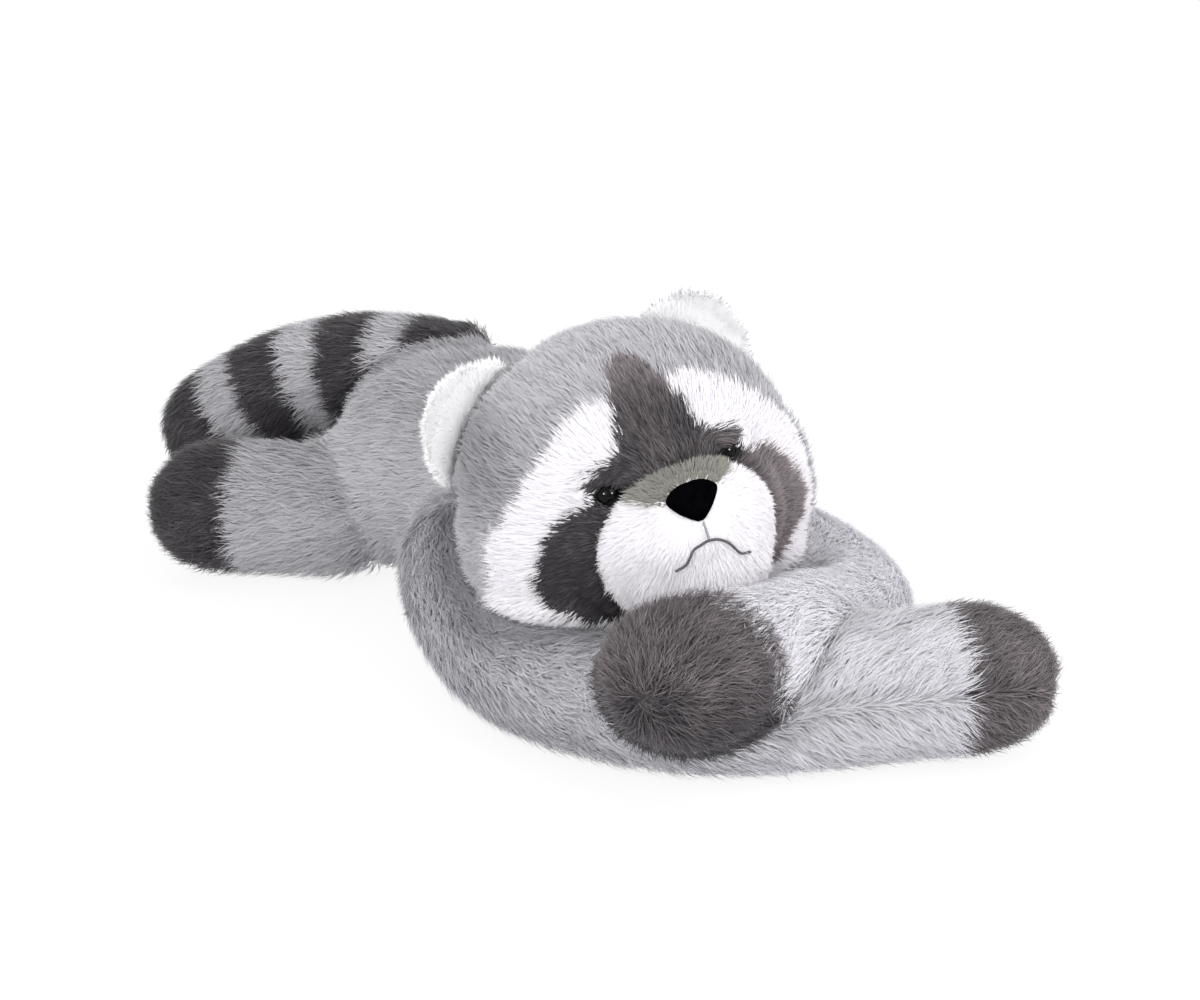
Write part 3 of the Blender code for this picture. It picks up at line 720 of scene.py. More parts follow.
@dataclass
class Workshop:
    """What every part needs: the solids, the materials and the pile tree.

    Attributes:
        PRESSURE: how hard the filling presses a cloth out.
        SETTLED: the frame at which the cloth has come to rest.
        faces: the triangles of all pieces made so far.
    """

    PRESSURE: ClassVar[float] = 4.0
    SETTLED: ClassVar[int] = 20

    solids: dict[str, bpy.types.Object]
    wardrobe: Wardrobe = field(default_factory=Wardrobe)
    pile: PileTree = field(default_factory=PileTree)
    faces: int = 0

    def cover(self, name: str, nodes: tuple[str, ...], stuffing: Stuffing) -> bpy.types.Object:
        """Make the backing cloth of a stuffed part from its solids.

        Args:
            name: the piece's name.
            nodes: the solids that it stands for.
            stuffing: how it is made.

        Returns:
            The cloth, closed and evened out, a little inside the solids.
        """
        draft = Surface.of_solids(nodes, self.solids).object(name + "_draft")
        remesh = draft.modifiers.new("weave", "REMESH")
        remesh.mode = "VOXEL"
        remesh.voxel_size = stuffing.weave
        even = draft.modifiers.new("even", "SMOOTH")
        even.factor = 0.5
        even.iterations = stuffing.smoothing
        cloth = baked(draft, name)
        points, normals = points_of(cloth), normals_of(cloth)
        others = self.tree_of_others(nodes)
        free = np.minimum(smooth_step(clearance(points, normals, others, 24 * MM), 1.5 * MM, 13 * MM),
                          smooth_step(nearest_gap(points, others), 2 * MM, 16 * MM))
        depth = stuffing.seam_depth + (stuffing.cloth_depth - stuffing.seam_depth) * free
        move_points(cloth, points - normals * depth[:, None])
        self.fill_out(cloth, 0.1 * MM + stuffing.swell * free)
        cloth.data.shade_smooth()
        return cloth

    @staticmethod
    def fill_out(cloth: bpy.types.Object, reach: Array) -> None:
        """Let the filling press a cloth out in a cloth simulation, as a stuffed skin pulls tight.

        Args:
            cloth: the cloth, a little too small.
            reach: how far each corner may move.
        """
        trial = linked("trial", cloth.data.copy())
        filling = trial.modifiers.new("filling", "CLOTH")
        filling.settings.use_pressure = True
        filling.settings.uniform_pressure_force = Workshop.PRESSURE
        filling.settings.effector_weights.gravity = 0.0
        filling.settings.quality = 5
        filling.point_cache.frame_end = Workshop.SETTLED
        for frame in range(1, Workshop.SETTLED + 1):
            bpy.context.scene.frame_set(frame)
        pressed = baked(trial, "pressed")
        start, end = points_of(cloth), points_of(pressed)
        discard(pressed)
        bpy.context.scene.frame_set(1)
        step = end - start
        span = np.maximum(np.linalg.norm(step, axis=1), 1e-9)
        move_points(cloth, start + step * (np.minimum(span, reach) / span)[:, None])

    def finish_piece(self, piece: bpy.types.Object, material: bpy.types.Material | None, slot: str,
                     replaces: tuple[str, ...] = ()) -> None:
        """Dress a piece, tie it to the toy's one body and report it.

        Args:
            piece: the finished object.
            material: its material, or None where it already wears one.
            slot: the record's slot; not used.
            replaces: the solids that it stands for.
        """
        if material is not None:
            piece.data.materials.clear()
            piece.data.materials.append(material)
        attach(piece, "root")
        if replaces:
            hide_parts(*replaces)
        piece.data.calc_loop_triangles()
        count = len(piece.data.loop_triangles)
        self.faces += count
        LOG.info("%s: %d triangles", piece.name, count)

    def tint(self, cloth: bpy.types.Object, shares: dict[Cloth, Array]) -> None:
        """Sew panels of other backing cloths into a finished cloth.

        Args:
            cloth: the cloth, in its main backing.
            shares: for each other backing, 1 at the corners that it covers.
        """
        mesh = cloth.data
        for backing in shares:
            mesh.materials.append(self.wardrobe.get(backing.value))
        for face in mesh.polygons:
            corners = list(face.vertices)
            found = [k for k, share in enumerate(shares.values()) if np.mean(share[corners]) > 0.5]
            face.material_index = found[0] + 1 if found else 0

    def tree_of(self, names: tuple[str, ...]) -> BVHTree:
        """Return a search tree of some solids."""
        return Surface.of_solids(names, self.solids).tree()

    def tree_of_others(self, own: tuple[str, ...]) -> BVHTree:
        """Return a search tree of all solids but these."""
        return self.tree_of(tuple(n for n in self.solids if n not in own))


def hits(points: Array, ways: Array, tree: BVHTree, reach: float) -> Array:
    """Tell for each point whether a ray from it meets the tree within reach, and how far away."""
    found = np.full(len(points), np.inf)
    for k, (point, way) in enumerate(zip(points, ways)):
        distance = tree.ray_cast(Vector(point), Vector(way), reach)[3]
        if distance is not None:
            found[k] = distance
    return found


def nearest_gap(points: Array, tree: BVHTree) -> Array:
    """Return each point's distance to the tree."""
    return np.array([tree.find_nearest(Vector(p))[3] for p in points])


def clearance(points: Array, normals: Array, tree: BVHTree, reach: float, inset: float = 3 * MM) -> Array:
    """Tell how far each point of a surface is free outwards.

    Args:
        points, normals: the surface.
        tree: what may cover it.
        reach: how far it is looked for.
        inset: how far inside the surface the look begins, as a neighbour may reach into it.

    Returns:
        The distance to the tree, or 1 m where none is within reach.
    """
    gap = hits(points - normals * inset, normals, tree, reach) - inset
    return np.where(np.isfinite(gap), gap, 1.0)


def dent(cloth: bpy.types.Object, tree: BVHTree, depth: float, reach: float) -> None:
    """Press a cloth in by up to depth within reach of the parts in the tree."""
    points, normals = points_of(cloth), normals_of(cloth)
    near = 1 - smooth_step(nearest_gap(points, tree), 0.3 * reach, reach)
    move_points(cloth, points - normals * (near * depth)[:, None])


def set_numbers(piece: bpy.types.Object, name: str, values: Array) -> None:
    """Store a number or a direction at each corner of a mesh."""
    drop_numbers(piece, (name,))
    kind, key = ("FLOAT_VECTOR", "vector") if values.ndim == 2 else ("FLOAT", "value")
    made = piece.data.attributes.new(name, kind, "POINT")
    made.data.foreach_set(key, values.astype(np.float32).ravel())


def drop_numbers(piece: bpy.types.Object, names: tuple[str, ...]) -> None:
    """Remove stored numbers of these names from a mesh."""
    held = piece.data.attributes
    for name in names:
        if name in held:
            held.remove(held[name])


class Groomer:
    """Sets how the pile of one cloth lies, how long, thick and dark it is, and grows it.

    Attributes:
        KEYS: the cloth's numbers that the pile's tree reads.
        SPARSE: the share of the pile that grows where a neighbour covers it.
        GROOVE: how far from a seam its groove reaches.
        SEAM_SHADE: how far from a seam the pile's tone is shifted to paint shade in its groove, and by how
            much.
    """

    KEYS = ("comb", "thick", "pile", "rise", "bias")
    SPARSE = 0.14
    GROOVE = 5 * MM
    SEAM_SHADE = (8 * MM, 0.45)

    def __init__(self, shop: Workshop, cloth: bpy.types.Object, own: tuple[str, ...]) -> None:
        self.shop = shop
        self.cloth = cloth
        self.points = points_of(cloth)
        self.normals = normals_of(cloth)
        self.comb = np.zeros_like(self.points)
        self.pile = np.ones(len(self.points))
        self.rise = np.ones(len(self.points))
        # shift of tone: real differences, and painted light and shade in places
        self.bias = np.zeros(len(self.points))
        self.thick = self.open_share(own)

    def open_share(self, own: tuple[str, ...]) -> Array:
        """Return how much of the pile is worth growing: little where a neighbour or the floor covers it."""
        free = clearance(self.points, self.normals, self.shop.tree_of_others(own), 30 * MM)
        share = self.SPARSE + (1 - self.SPARSE) * smooth_step(free, 2 * MM, 10 * MM)
        under = smooth_step(-self.normals[:, 2], 0.5, 0.9) * (self.points[:, 2] < 30 * MM)
        return share * (1 - 0.8 * under)

    def over(self, nodes: tuple[str, ...], reach: float = 10 * MM) -> Array:
        """Tell which of these solids each strand shows over, which is further along than its root.

        Args:
            nodes: the solids to tell apart.
            reach: how far along the brushing the strand is looked at.

        Returns:
            For each corner of the cloth, the number of the solid in nodes.
        """
        sunk = np.sum(self.comb * self.normals, axis=1, keepdims=True)
        spots = self.points + unit(self.comb - self.normals * sunk) * reach
        gaps = []
        for node in nodes:
            tree = self.shop.tree_of((node,))
            seen = hits(spots + self.normals * 16 * MM, -self.normals, tree, 40 * MM)
            gaps.append(np.where(np.isfinite(seen), seen, 1.0 + nearest_gap(spots, tree)))
        return np.argmin(gaps, axis=0)

    def press(self, nodes: tuple[str, ...], shade: float) -> None:
        """Press the pile flat and short beside parts that lie on it, and paint their shadow on it there as a
        shift of tone.
        """
        gap = nearest_gap(self.points, self.shop.tree_of(nodes))
        # painted shadow of the parts that lie on it
        self.bias += shade * (1 - smooth_step(gap, 5 * MM, 38 * MM))
        free = smooth_step(gap, 6 * MM, 24 * MM)
        self.pile *= 0.6 + 0.4 * free
        self.rise *= 0.3 + 0.7 * free

    def trim_root(self, start: float = 0.3) -> None:
        """Leave the end bare by which the part is sewn on, where the pile would have to lie backwards."""
        facing = np.sum(unit(self.comb) * self.normals, axis=1)
        self.thick *= 1 - smooth_step(-facing, start, start + 0.25)

    def part(self, line: Route, spread: float, strength: float) -> None:
        """Part the pile along a seam: it leans away on both sides and is short in the groove, where painted
        shade darkens it.

        Args:
            line: the seam.
            spread: how far from the seam the pile leans away.
            strength: how strongly.
        """
        near = line.nearest(self.points)
        offset = self.points - line.points[near]
        gap = np.linalg.norm(offset, axis=1)
        across = unit(np.cross(line.ways[near], self.normals))
        side = np.sign(np.sum(offset * across, axis=1))
        facing = np.sum(self.normals * self.normals[gap.argmin()], axis=1) > 0
        pull = np.exp(-(gap / spread) ** 2) * side * facing * strength
        self.comb += across * pull[:, None]
        groove = np.exp(-(gap / self.GROOVE) ** 2) * facing
        # painted shade in the seam's groove
        self.bias += self.SEAM_SHADE[1] * np.exp(-(gap / self.SEAM_SHADE[0]) ** 2) * facing
        self.pile *= 1 - 0.5 * groove
        self.thick *= 1 - 0.55 * groove
        points = points_of(self.cloth) - self.normals * (3 * MM * groove)[:, None]
        move_points(self.cloth, points)

    def grow(self, name: str, coat: Coat, slot: str, mask: Array | None = None,
             replaces: tuple[str, ...] = ()) -> bpy.types.Object:
        """Grow one pile on the cloth.

        Args:
            name: the piece's name.
            coat: the cut of the pile.
            slot: the record's slot.
            mask: the share of the cloth that it covers, or None for all of it.
            replaces: the solids that it stands for.

        Returns:
            The pile.
        """
        thick = self.thick if mask is None else self.thick * np.where(mask > 0.5, 1.0, 0.0)
        for key, values in zip(self.KEYS, (self.comb, thick, self.pile, self.rise, self.bias)):
            set_numbers(self.cloth, key, values)
        piece = self.shop.pile.grow(self.cloth, coat, self.shop.wardrobe.get(coat.finish), name)
        self.shop.finish_piece(piece, None, slot, replaces)
        return piece

    def close(self, backing: Cloth, slot: str, nodes: tuple[str, ...], fill: float,
              panels: dict[Cloth, Array] | None = None) -> None:
        """Finish the cloth once its piles are grown.

        Args:
            backing: its main backing.
            slot: the record's slot.
            nodes: the solids that it stands for.
            fill: how full it is stuffed; not used.
            panels: for each other backing, 1 at the corners that it covers.
        """
        drop_numbers(self.cloth, self.KEYS)
        self.shop.finish_piece(self.cloth, self.shop.wardrobe.get(backing.value), slot, nodes)
        if panels:
            self.shop.tint(self.cloth, panels)


@dataclass
class Torso:
    """The stuffed trunk, brushed from the neck to the rump."""

    coat: Coat = Coat(Pile.GREY.value, seed=11)
    stuffing: Stuffing = Stuffing(weave=8 * MM)

    def build(self, shop: Workshop) -> None:
        """Make the trunk's cloth and its pile."""
        cloth = shop.cover("torso_cloth", ("torso",), self.stuffing)
        dent(cloth, shop.tree_of(("tail_dark_1", "tail_grey_1")), 5 * MM, 45 * MM)
        groom = Groomer(shop, cloth, ("torso",))
        groom.comb = np.tile((0.0, 1.0, 0.0), (len(groom.points), 1)) + 0.25 * groom.normals * (1, 0, 0)
        groom.comb[:, 2] -= 0.3
        height = groom.points[:, 2]
        skirt = smooth_step(-height, -0.06, -0.025) * smooth_step(np.abs(groom.normals[:, 0]), 0.3, 0.8)
        groom.comb[:, 2] -= 0.9 * skirt
        groom.bias = 0.55 * smooth_step(height, 0.08, 0.16) - 0.25
        groom.grow("torso_pile", self.coat, "grey_plush")
        groom.close(Cloth.GREY, "grey_plush", ("torso",), self.stuffing.fill)


@dataclass
class Limb:
    """A stuffed arm or leg with its paw, brushed towards the paw.

    Attributes:
        name: the side and the kind, such as left_arm.
        nodes: the solids of the sleeve and the paw.
        knots: the line that the limb follows, from the body to the paw.
        sleeve: the sleeve's coat.
        paw: the paw's coat.
        whorl: how strongly the paw's pile turns back from its end, 0 or 1.
        seam: the line of the lengthwise seam that parts the pile, or nothing.
        drape: the way in which the sleeve's pile hangs off the limb's own direction.
        tones: the sleeve's shift of tone at the body and at the paw, and the paw's own.
        under: the parts that lie on it.
        dent_depth: how deep they press it in.
        shade: how far they shift its tone, which paints their shadow on it.
    """

    name: str
    nodes: tuple[str, str]
    knots: tuple[tuple[float, float, float], ...]
    sleeve: Coat
    paw: Coat
    stuffing: Stuffing = Stuffing(weave=7 * MM)
    whorl: float = 0.0
    seam: tuple[tuple[float, float, float], ...] = ()
    drape: tuple[float, float, float] = (0.0, 0.0, 0.0)
    tones: tuple[float, float, float] = (0.0, 0.0, 0.0)
    under: tuple[str, ...] = ()
    dent_depth: float = 0.0
    shade: float = 0.0

    def build(self, shop: Workshop) -> None:
        """Make the limb's cloth and its two piles."""
        cloth = shop.cover(self.name + "_cloth", self.nodes, self.stuffing)
        if self.dent_depth:
            dent(cloth, shop.tree_of(self.under), self.dent_depth, 40 * MM)
        groom = Groomer(shop, cloth, self.nodes)
        route = Route(self.knots)
        along = route.way_at(groom.points)
        groom.comb = along
        groom.trim_root()
        paw = (groom.over(self.nodes) == 1).astype(float)
        back = unit(groom.points - route.points[-1]) if self.whorl else along
        turned = (paw * self.whorl)[:, None]
        groom.comb = along * (1 - turned) + back * turned
        groom.comb += np.array(self.drape) * (1 - paw)[:, None]
        groom.comb[:, 2] -= 0.12
        reached = route.share_at(groom.points)
        groom.bias = (self.tones[0] + (self.tones[1] - self.tones[0]) * smooth_step(reached, 0.2, 0.75)
                      + (self.tones[2] - self.tones[1]) * paw)
        if self.under:
            # darkens the pile beside them: painted shadow
            groom.press(self.under, self.shade)
        if self.whorl:
            # painted shade: the paw's pile darker towards the floor
            groom.bias -= paw * 0.42 * (1 - smooth_step(groom.points[:, 2], 0.03, 0.1))
        if "leg" in self.name:
            groom.bias += (1 - paw) * (0.4 * smooth_step(groom.points[:, 2], 0.03, 0.085) - 0.15)
        if self.seam:
            groom.part(Route(self.seam), 30 * MM, 1.1)
        groom.grow(self.nodes[0] + "_pile", self.sleeve, "grey_plush", 1 - paw)
        groom.grow(self.nodes[1] + "_pile", self.paw, "dark_plush", paw, self.nodes[1:])
        groom.close(Cloth.GREY, "grey_plush", self.nodes[:1], self.stuffing.fill, {Cloth.DARK: paw})


@dataclass
class Tail:
    """The stuffed tail, sewn from dark and grey strips."""

    dark: tuple[str, ...] = ("tail_tip", "tail_dark_1", "tail_dark_2", "tail_dark_3")
    grey: tuple[str, ...] = ("tail_grey_1", "tail_grey_2", "tail_grey_3")
    knots: tuple[tuple[float, float, float], ...] = ((0.05, 0.07, 0.143), (-0.016, 0.197, 0.12),
                                                     (-0.089, 0.290, 0.056))
    dark_coat: Coat = Coat(Pile.DARK.value, length=17 * MM, density=860_000, seed=31)
    grey_coat: Coat = Coat(Pile.GREY.value, length=17 * MM, density=860_000, seed=32)
    stuffing: Stuffing = Stuffing(weave=6 * MM)

    def build(self, shop: Workshop) -> None:
        """Make the tail's cloth and its piles."""
        nodes = self.dark + self.grey
        cloth = shop.cover("tail_cloth", nodes, self.stuffing)
        groom = Groomer(shop, cloth, nodes)
        route = Route(self.knots)
        groom.comb = route.way_at(groom.points)
        groom.comb[:, 2] -= 0.1
        reached = route.share_at(groom.points)
        groom.pile = 0.6 + 0.4 * smooth_step(reached, 0.0, 0.12)
        groom.thick = np.maximum(groom.thick, 0.45)
        groom.trim_root(0.6)
        over = groom.over(nodes, 20 * MM)
        for number, node in enumerate(nodes):
            mask = (over == number).astype(float)
            coat, slot = ((self.dark_coat, "dark_plush") if node in self.dark
                          else (self.grey_coat, "grey_plush"))
            groom.bias = np.full(len(mask), -0.17 if node in self.dark else 0.09)
            groom.grow(node + "_pile", coat, slot, mask, () if node == "tail_tip" else (node,))
        pale = (over >= len(self.dark)).astype(float)
        groom.close(Cloth.DARK, "dark_plush", ("tail_tip",), self.stuffing.fill, {Cloth.GREY: pale})


@dataclass
class HeadFrame:
    """The head's own directions and centre.

    Attributes:
        centre: the middle of the head.
        size: its width, depth and height.
        turn, lift, roll: how it is turned to the toy's right, raised and tilted, in degrees.
        muzzle_forward, muzzle_drop: the muzzle's middle from the head's.
        muzzle_size: the muzzle's width, depth and height.
        map_radius, muzzle_map_radius: the radii by which places on both are told.
        chin: how far the chin bulges.
        eye_spacing, eye_rise, eye_size: the beads' places over the face, and their diameter.
    """

    centre: tuple[float, float, float] = (-0.037, -0.168, 0.144)
    size: tuple[float, float, float] = (0.244, 0.200, 0.220)
    turn: float = 24.5
    lift: float = 13.0
    roll: float = 12.0
    muzzle_forward: float = 0.080
    muzzle_drop: float = 0.026
    muzzle_size: tuple[float, float, float] = (0.126, 0.100, 0.100)
    map_radius: float = 0.110
    muzzle_map_radius: float = 0.052
    chin: float = 12 * MM
    eye_spacing: float = 0.098
    eye_rise: float = 0.018
    eye_size: float = 0.015

    def __post_init__(self) -> None:
        stance = (Matrix.Rotation(-math.radians(self.turn), 3, "Z")
                  @ Matrix.Rotation(-math.radians(self.lift), 3, "X")
                  @ Matrix.Rotation(-math.radians(self.roll), 3, "Y"))
        self.left = stance @ Vector((1, 0, 0))
        self.forward = stance @ Vector((0, -1, 0))
        self.up = stance @ Vector((0, 0, 1))
        self.axes = np.array((self.left, self.forward, self.up))
        self.middle = Vector(self.centre)
        self.muzzle_middle = (self.middle + self.forward * self.muzzle_forward
                              - self.up * self.muzzle_drop)

    def world(self, origin: Vector, left: float, forward: float, up: float) -> Vector:
        """Return a place given in the head's directions."""
        return origin + self.left * left + self.forward * forward + self.up * up

    def on_egg(self, origin: Vector, size: tuple[float, float, float], radius: float, u: float, v: float,
               lift: float = 0.0) -> Vector:
        """Return the place u sideways and v upward over an egg-shaped form."""
        reach = math.hypot(u, v)
        angle = reach / radius
        spread = math.sin(angle) / reach if reach else 0.0
        way = (u * spread, math.cos(angle), v * spread)
        out = 1 / math.sqrt(sum((w / (s / 2)) ** 2 for w, s in zip(way, size)))
        return self.world(origin, *(w * (out + lift) for w in way))

    def told(self, points: Array, origin: Vector | None = None) -> Array:
        """Tell points, or directions where there is no origin, to the left, forward and up, a row of each."""
        return self.axes @ (points - np.array(origin or (0, 0, 0))).T

    def hung(self, points: Array) -> Array:
        """Bulge the chin forward and down, over the arm that it rests on."""
        _, forward, up = self.told(points, self.muzzle_middle)
        low = smooth_step(-up, 6 * MM, 42 * MM) * smooth_step(forward, -20 * MM, 15 * MM)
        return points + (low * self.chin)[:, None] * (0.75 * self.axes[1] - 0.65 * self.axes[2])

    def on_face(self, u: float, v: float, lift: float = 0.0) -> Vector:
        """Return a place over the head."""
        return self.on_egg(self.middle, self.size, self.map_radius, u, v, lift)

    def on_muzzle(self, u: float, v: float, lift: float = 0.0) -> Vector:
        """Return a place over the muzzle."""
        return self.on_egg(self.muzzle_middle, self.muzzle_size, self.muzzle_map_radius, u, v, lift)


@dataclass
class Head:
    """The stuffed head with the pile of its face panels."""

    frame: HeadFrame = field(default_factory=HeadFrame)
    stuffing: Stuffing = Stuffing(cloth_depth=7.5 * MM, weave=5 * MM, smoothing=4, swell=2 * MM)
    socket: tuple[float, float] = (11 * MM, 8 * MM)
    grey: Coat = Coat(Pile.GREY.value, length=16 * MM, lift=20, seed=41)
    white: Coat = Coat(Pile.WHITE.value, length=12 * MM, density=950_000, width=0.75 * MM, lift=18, mess=0.2,
                       locks=0.2, seed=42)
    mask: Coat = Coat(Pile.DARK.value, length=10 * MM, density=1_500_000, width=0.65 * MM, lift=18,
                      mess=0.22, locks=0.22, seed=43)
    blaze: Coat = Coat(Pile.DARK.value, length=11 * MM, density=1_400_000, width=0.65 * MM, lift=18,
                       mess=0.22, locks=0.22, seed=44)
    hollow_shade: Coat = Coat(Pile.HOLLOW_SHADE.value, length=10 * MM, density=1_500_000, width=0.6 * MM, lift=15, mess=0.4,
                      locks=0.3, seed=45)

    def build(self, shop: Workshop) -> None:
        """Make the head's cloth and every pile on it."""
        panels = ("forehead_blaze", *(f"{side}_{kind}" for side in ("left", "right")
                                      for kind in ("brow", "mask", "cheek")))
        nodes = ("head", *panels)
        cloth = shop.cover("head_cloth", nodes, self.stuffing)
        linings = ("left_ear_lining", "right_ear_lining")
        dent(cloth, shop.tree_of(linings), 9 * MM, 30 * MM)
        groom = Groomer(shop, cloth, (*nodes, "muzzle", "muzzle_bridge", "nose", "left_eye", "right_eye",
                                      "philtrum_stitch", "mouth_stitch"))
        groom.thick *= self.clear_of_muzzle(shop, groom)
        far, _, high = self.frame.told(groom.points, self.frame.middle)
        start = np.array(self.frame.muzzle_middle)
        groom.comb = unit(groom.points - start) + 0.35 * np.array((0.0, 1.0, -0.3))
        groom.comb += 0.5 * self.frame.axes[2] * smooth_step(high, 0.0, 0.06)[:, None]
        over = groom.over(nodes, 7 * MM)
        found = {n: over == k for k, n in enumerate(nodes)}
        found["left_cheek"] &= self.frame.told(groom.normals)[1] > 0.54
        groom.press(linings, 0.0)
        socket, shut = self.settle_eyes(groom)
        groom.pile *= shut
        for node in panels:
            found[node] &= socket < 0.5
        rest = np.ones(len(groom.points)) - socket
        # the charcoal backing also lies under the hollows' painted shade
        dark, white = np.copy(socket), np.zeros(len(rest))
        tones = self.tones(far, high)
        kinds = {"cheek": (self.white, "white_plush"), "mask": (self.mask, "dark_plush"),
                 "brow": (self.mask, "dark_plush"), "blaze": (self.blaze, "dark_plush")}
        # near-black pile in the beads' hollows: painted shade
        groom.grow("eye_socket_pile", self.hollow_shade, "dark_plush", socket)
        for node in panels:
            mask = found[node].astype(float)
            rest -= mask
            kind = node.split("_")[-1]
            groom.bias = tones[kind]
            if "cheek" in node:
                white += mask
            else:
                dark += mask
            groom.grow(node + "_pile", *kinds[kind], self.even(groom.cloth, mask), (node,))
        groom.bias = tones["grey"]
        groom.grow("head_pile", self.grey, "grey_plush", self.even(groom.cloth, rest))
        groom.close(Cloth.GREY, "grey_plush", ("head",), self.stuffing.fill,
                    {Cloth.DARK: dark, Cloth.WHITE: white})

    @staticmethod
    def tones(far: Array, high: Array) -> dict[str, Array]:
        """Shift the tone of each kind of panel over the face, mostly to paint light and shade.

        Args:
            far, high: how far each corner of the cloth lies to the head's left and up.

        Returns:
            The shifts: painted light that makes masks, brows and blaze paler where they turn away, painted
                light that makes the grey paler on the crown, painted shade that makes it darker behind the
                near ear, and a paler grey low on the head.
        """
        near_ear = smooth_step(-far, 0.06, 0.1) * smooth_step(high, -0.01, 0.04)
        # painted light on the far masks and brows, the blaze's top and the crown; painted shade behind the
        # near ear
        return {"cheek": np.zeros(len(far)),
                "mask": smooth_step(far, 0.03, 0.07) - 0.22,
                "brow": 0.5 * smooth_step(far, 0.0, 0.06) - 0.16,
                "blaze": 0.69 * smooth_step(high, 0.045, 0.085),
                "grey": (0.05 - 0.2 * smooth_step(high, 0.06, 0.1) - 0.2 * smooth_step(-high, 0.0, 0.05)
                         + 0.5 * near_ear)}

    def settle_eyes(self, groom: Groomer) -> tuple[Array, Array]:
        """Comb the brows down over the beads and mark the hollows that the beads sit in, whose shade
        near-black pile paints.

        Args:
            groom: the head's groomer.

        Returns:
            1 in the hollows and 0 elsewhere, and the share of its length that the pile keeps.
        """
        frame = self.frame
        socket, kept = np.zeros(len(groom.points)), np.ones(len(groom.points))
        for sign in (1, -1):
            bead = frame.on_face(sign * frame.eye_spacing / 2, frame.eye_rise, -6 * MM)
            across, _, rise = frame.told(groom.points, bead)
            across = across * sign
            gap = np.linalg.norm(groom.points - np.array(bead), axis=1)
            hollow = (across / self.socket[0]) ** 2 + (rise / self.socket[1]) ** 2 < 1
            socket[hollow & (gap < 20 * MM)] = 1.0
            kept = np.minimum(kept, 0.35 + 0.65 * smooth_step(gap, 7 * MM, 20 * MM))
            brow = (np.exp(-((across + 1 * MM) / (15 * MM)) ** 2) * smooth_step(rise, 2 * MM, 7 * MM)
                    * smooth_step(-rise, -24 * MM, -12 * MM) * (gap < 30 * MM))
            groom.comb += brow[:, None] * (0.9 * sign * frame.axes[0] - 1.9 * frame.axes[2])
            kept = kept + (0.85 - kept) * brow
        return socket, kept

    @staticmethod
    def clear_of_muzzle(shop: Workshop, groom: Groomer) -> Array:
        """Return 0 where the muzzle stands on the head."""
        covered = hits(groom.points, groom.normals, shop.tree_of(("muzzle",)), 60 * MM)
        return np.where(covered < 1, 0.0, 1.0)

    @staticmethod
    def even(cloth: bpy.types.Object, mask: Array) -> Array:
        """Even a mask out over the cloth's edges, so that its border is smooth."""
        edges = np.empty(len(cloth.data.edges) * 2, np.int32)
        cloth.data.edges.foreach_get("vertices", edges)
        pairs = edges.reshape(-1, 2)
        for _ in range(2):
            total = np.zeros(len(mask))
            count = np.zeros(len(mask))
            for a, b in ((0, 1), (1, 0)):
                np.add.at(total, pairs[:, a], mask[pairs[:, b]])
                np.add.at(count, pairs[:, a], 1)
            mask = 0.5 * mask + 0.5 * total / np.maximum(count, 1)
        return mask


@dataclass
class Muzzle:
    """The white muzzle with its olive-grey bridge, short and smooth."""

    frame: HeadFrame = field(default_factory=HeadFrame)
    stuffing: Stuffing = Stuffing(cloth_depth=4.4 * MM, weave=3.5 * MM, smoothing=4, swell=1.2 * MM)
    white: Coat = Coat(Pile.WHITE.value, length=9 * MM, density=1_100_000, width=0.7 * MM, lift=20, mess=0.22,
                       locks=0.25, seed=51)
    olive: Coat = Coat(Pile.OLIVE.value, length=8 * MM, density=1_500_000, width=0.65 * MM, lift=22,
                       mess=0.22, locks=0.25, seed=52)

    def build(self, shop: Workshop) -> None:
        """Make the muzzle's cloth and its two piles."""
        cloth = shop.cover("muzzle_cloth", ("muzzle", "muzzle_bridge"), self.stuffing)
        move_points(cloth, self.frame.hung(points_of(cloth)))
        groom = Groomer(shop, cloth, ("muzzle", "muzzle_bridge", "nose", "philtrum_stitch", "mouth_stitch",
                                      "left_cheek", "right_cheek", "left_mask", "right_mask"))
        groom.thick = np.maximum(groom.thick, 0.8)
        nose = np.array(self.frame.on_muzzle(0.0, 0.028))
        groom.comb = unit(groom.points - nose) + 0.3 * np.array((0.0, 0.6, -0.3))
        near = np.linalg.norm(groom.points - nose, axis=1)
        groom.pile = 0.45 + 0.55 * smooth_step(near, 14 * MM, 34 * MM)
        bridge = (hits(groom.points, groom.normals, shop.tree_of(("muzzle_bridge",)), 9 * MM) < 1)
        bridge = Head.even(cloth, bridge.astype(float))
        groom.grow("muzzle_bridge_pile", self.olive, "olive_plush", bridge, ("muzzle_bridge",))
        groom.grow("muzzle_pile", self.white, "white_plush", 1 - bridge)
        groom.close(Cloth.WHITE, "white_plush", ("muzzle",), self.stuffing.fill, {Cloth.OLIVE: bridge})


